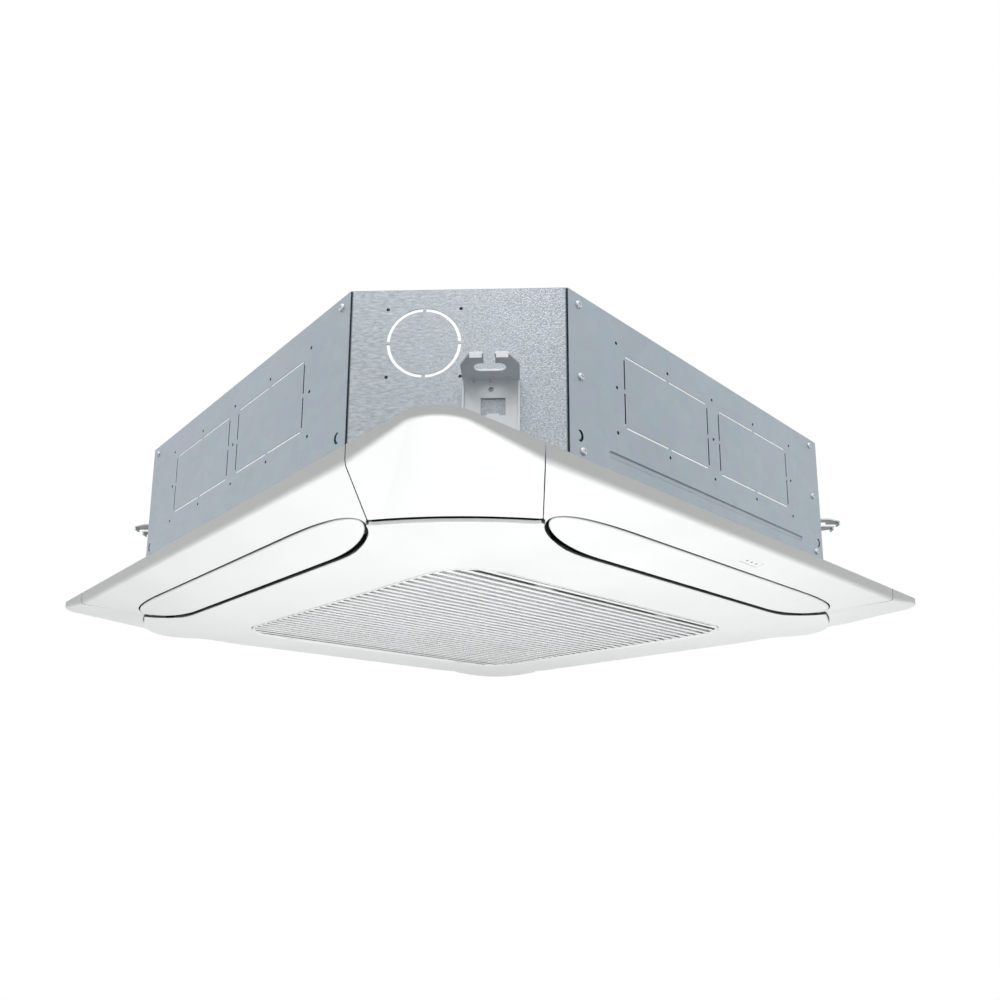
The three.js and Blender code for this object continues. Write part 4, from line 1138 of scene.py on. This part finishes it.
step_x = (2 * FILTER_X - FILTER_RIB) / FILTER_CELLS
step_y = (FILTER_Y[1] - FILTER_Y[0] - FILTER_RIB) / FILTER_CELLS
filter_frame = block(-FILTER_X, FILTER_X, *FILTER_Y, *FILTER_Z)
windows = []
for i in range(FILTER_CELLS):
    for k in range(FILTER_CELLS):
        left = -FILTER_X + FILTER_RIB + i * step_x
        near = FILTER_Y[0] + FILTER_RIB + k * step_y
        windows.append(block(left, left + step_x - FILTER_RIB, near, near + step_y - FILTER_RIB, -50, 0))
cut(filter_frame, *windows)
finished(filter_frame, "filter_frame", FILTER_GREY, "grille", ["air_filter"])
net_z = FILTER_Z[0] + 1.4
net = block(-FILTER_X + 1, FILTER_X - 1, FILTER_Y[0] + 1, FILTER_Y[1] - 1, net_z, net_z + 0.3)
finished(net, "filter_net", net_weave(), "grille")

# ---- receiver window ----
# A small smooth window in the front strip with three indicator lenses behind it.
WINDOW = (-3.8, 33.8, -452.8, -443.2)
LENS_X = 5
LENS_STEP = 10
LENS_Y = -448
LENS_RADIUS = 1.265


def lens_dots(finish):
    """Three dark indicator lenses, behind the plate."""
    past = (finish.axis("X") - LENS_X * MM) % (LENS_STEP * MM)
    beside = past.maths("MINIMUM", LENS_STEP * MM - past)
    beyond = finish.axis("Y") - LENS_Y * MM
    return (LENS_RADIUS * MM) ** 2 - (beside * beside + beyond * beyond) > 0


x0, x1, y0, y1 = WINDOW
outline = [(x0, y0), (x1, y0), (x1, y1), (x0, y1)]
window = loft("window", [[(x, y, face_z(-y)) for x, y in outline], ring(outline, face_z(-LENS_Y) + 4)])
WINDOW_WHITE = moulding("window_white", WHITE_TONE, 0.38, 0.18, 0.2, lens_dots)
finished(window, "signal_window", WINDOW_WHITE, nodes=["receiver_window"])


# ---- floor, lamps and camera ----
# A pale floor well below the unit, soft light from all round and from below, and the photo's viewpoint.
def floor_finish():
    finish = Finish("floor")
    light = finish.node("LightPath", output="Is Camera Ray")
    plain = finish.node("BsdfDiffuse", None, {"Color": (0.9, 0.9, 0.9, 1)})
    glow = finish.node("Emission", None, {"Color": (1, 1, 1, 1), "Strength": 1})
    out = finish.node("VectorMath", {"operation": "LENGTH"}, {0: finish.place()}, "Value")
    limits = {"From Min": 1.5, "From Max": 3.6, "To Min": 0.8, "To Max": 1}
    fade = finish.node("MapRange", None, {"Value": out, **limits})
    return finish.close(finish.node("MixShader", None, {0: light * fade, 1: plain, 2: glow}))


FLOOR_Z = -1650
FLOOR_REACH = 9000
FLOOR_ROUND = 4000
floor_edge = ring(rounded(FLOOR_REACH, FLOOR_ROUND, 8), FLOOR_Z)
floor = solid("floor", floor_edge, [tuple(range(len(floor_edge)))])
floor.data.materials.append(floor_finish())


def soft_lamp(name, spot, aim, size, watts):
    lamp = bpy.data.lights.new(name, "AREA")
    lamp.size = size
    lamp.energy = watts
    holder = bpy.data.objects.new(name, lamp)
    holder.location = spot
    holder.rotation_euler = (Vector(aim) - Vector(spot)).to_track_quat("-Z", "Y").to_euler()
    bpy.context.scene.collection.objects.link(holder)
    holder.visible_camera = False


soft_lamp("lamp_below", (-0.2, -0.3, -1.6), (0, 0, 0), 1.6, 38)
soft_lamp("lamp_above", (-1.2, -1.0, 2.8), (0, 0, 0), 1.8, 26)

world = bpy.data.worlds.new("surroundings")
bpy.context.scene.world = world
world.use_nodes = True
sky = Finish("surroundings", world)
seen = sky.node("LightPath", output="Is Camera Ray")
for ray in ("Is Glossy Ray", "Is Transmission Ray"):
    seen = seen.maths("MAXIMUM", sky.node("LightPath", output=ray))
SKY_LEVEL = 0.28
glow = sky.node("Background", None, {"Color": (1, 1, 1, 1), "Strength": seen * (1 - SKY_LEVEL) + SKY_LEVEL})
sky.close(glow, "World")

CAMERA_AT = (-0.8026, -0.8971, -0.2774)
CAMERA_YAW = 0.7514
CAMERA_PITCH = 0.1807
CAMERA_ROLL = -0.0034
FOCAL = 793.26             # in thousandths of the frame's width
CENTRE_ROW = 640
SENSOR = 36
camera = bpy.data.cameras.new("camera")
camera.sensor_width = SENSOR
camera.lens = FOCAL * SENSOR / 1000
camera.shift_y = (CENTRE_ROW - 500) / 1000
camera.clip_start = 0.01
camera.clip_end = 100
viewer = bpy.data.objects.new("camera", camera)
level = math.cos(CAMERA_PITCH)
forward = Vector((math.sin(CAMERA_YAW) * level, math.cos(CAMERA_YAW) * level, math.sin(CAMERA_PITCH)))
right = Vector((math.cos(CAMERA_YAW), -math.sin(CAMERA_YAW), 0))
up = right.cross(forward)
tilt = Matrix.Rotation(CAMERA_ROLL, 3, forward)
turn = Matrix((tilt @ right, tilt @ up, -forward)).transposed()
viewer.matrix_world = Matrix.Translation(CAMERA_AT) @ turn.to_4x4()
bpy.context.scene.collection.objects.link(viewer)
bpy.context.scene.camera = viewer
bpy.context.scene.view_settings.view_transform = "Standard"
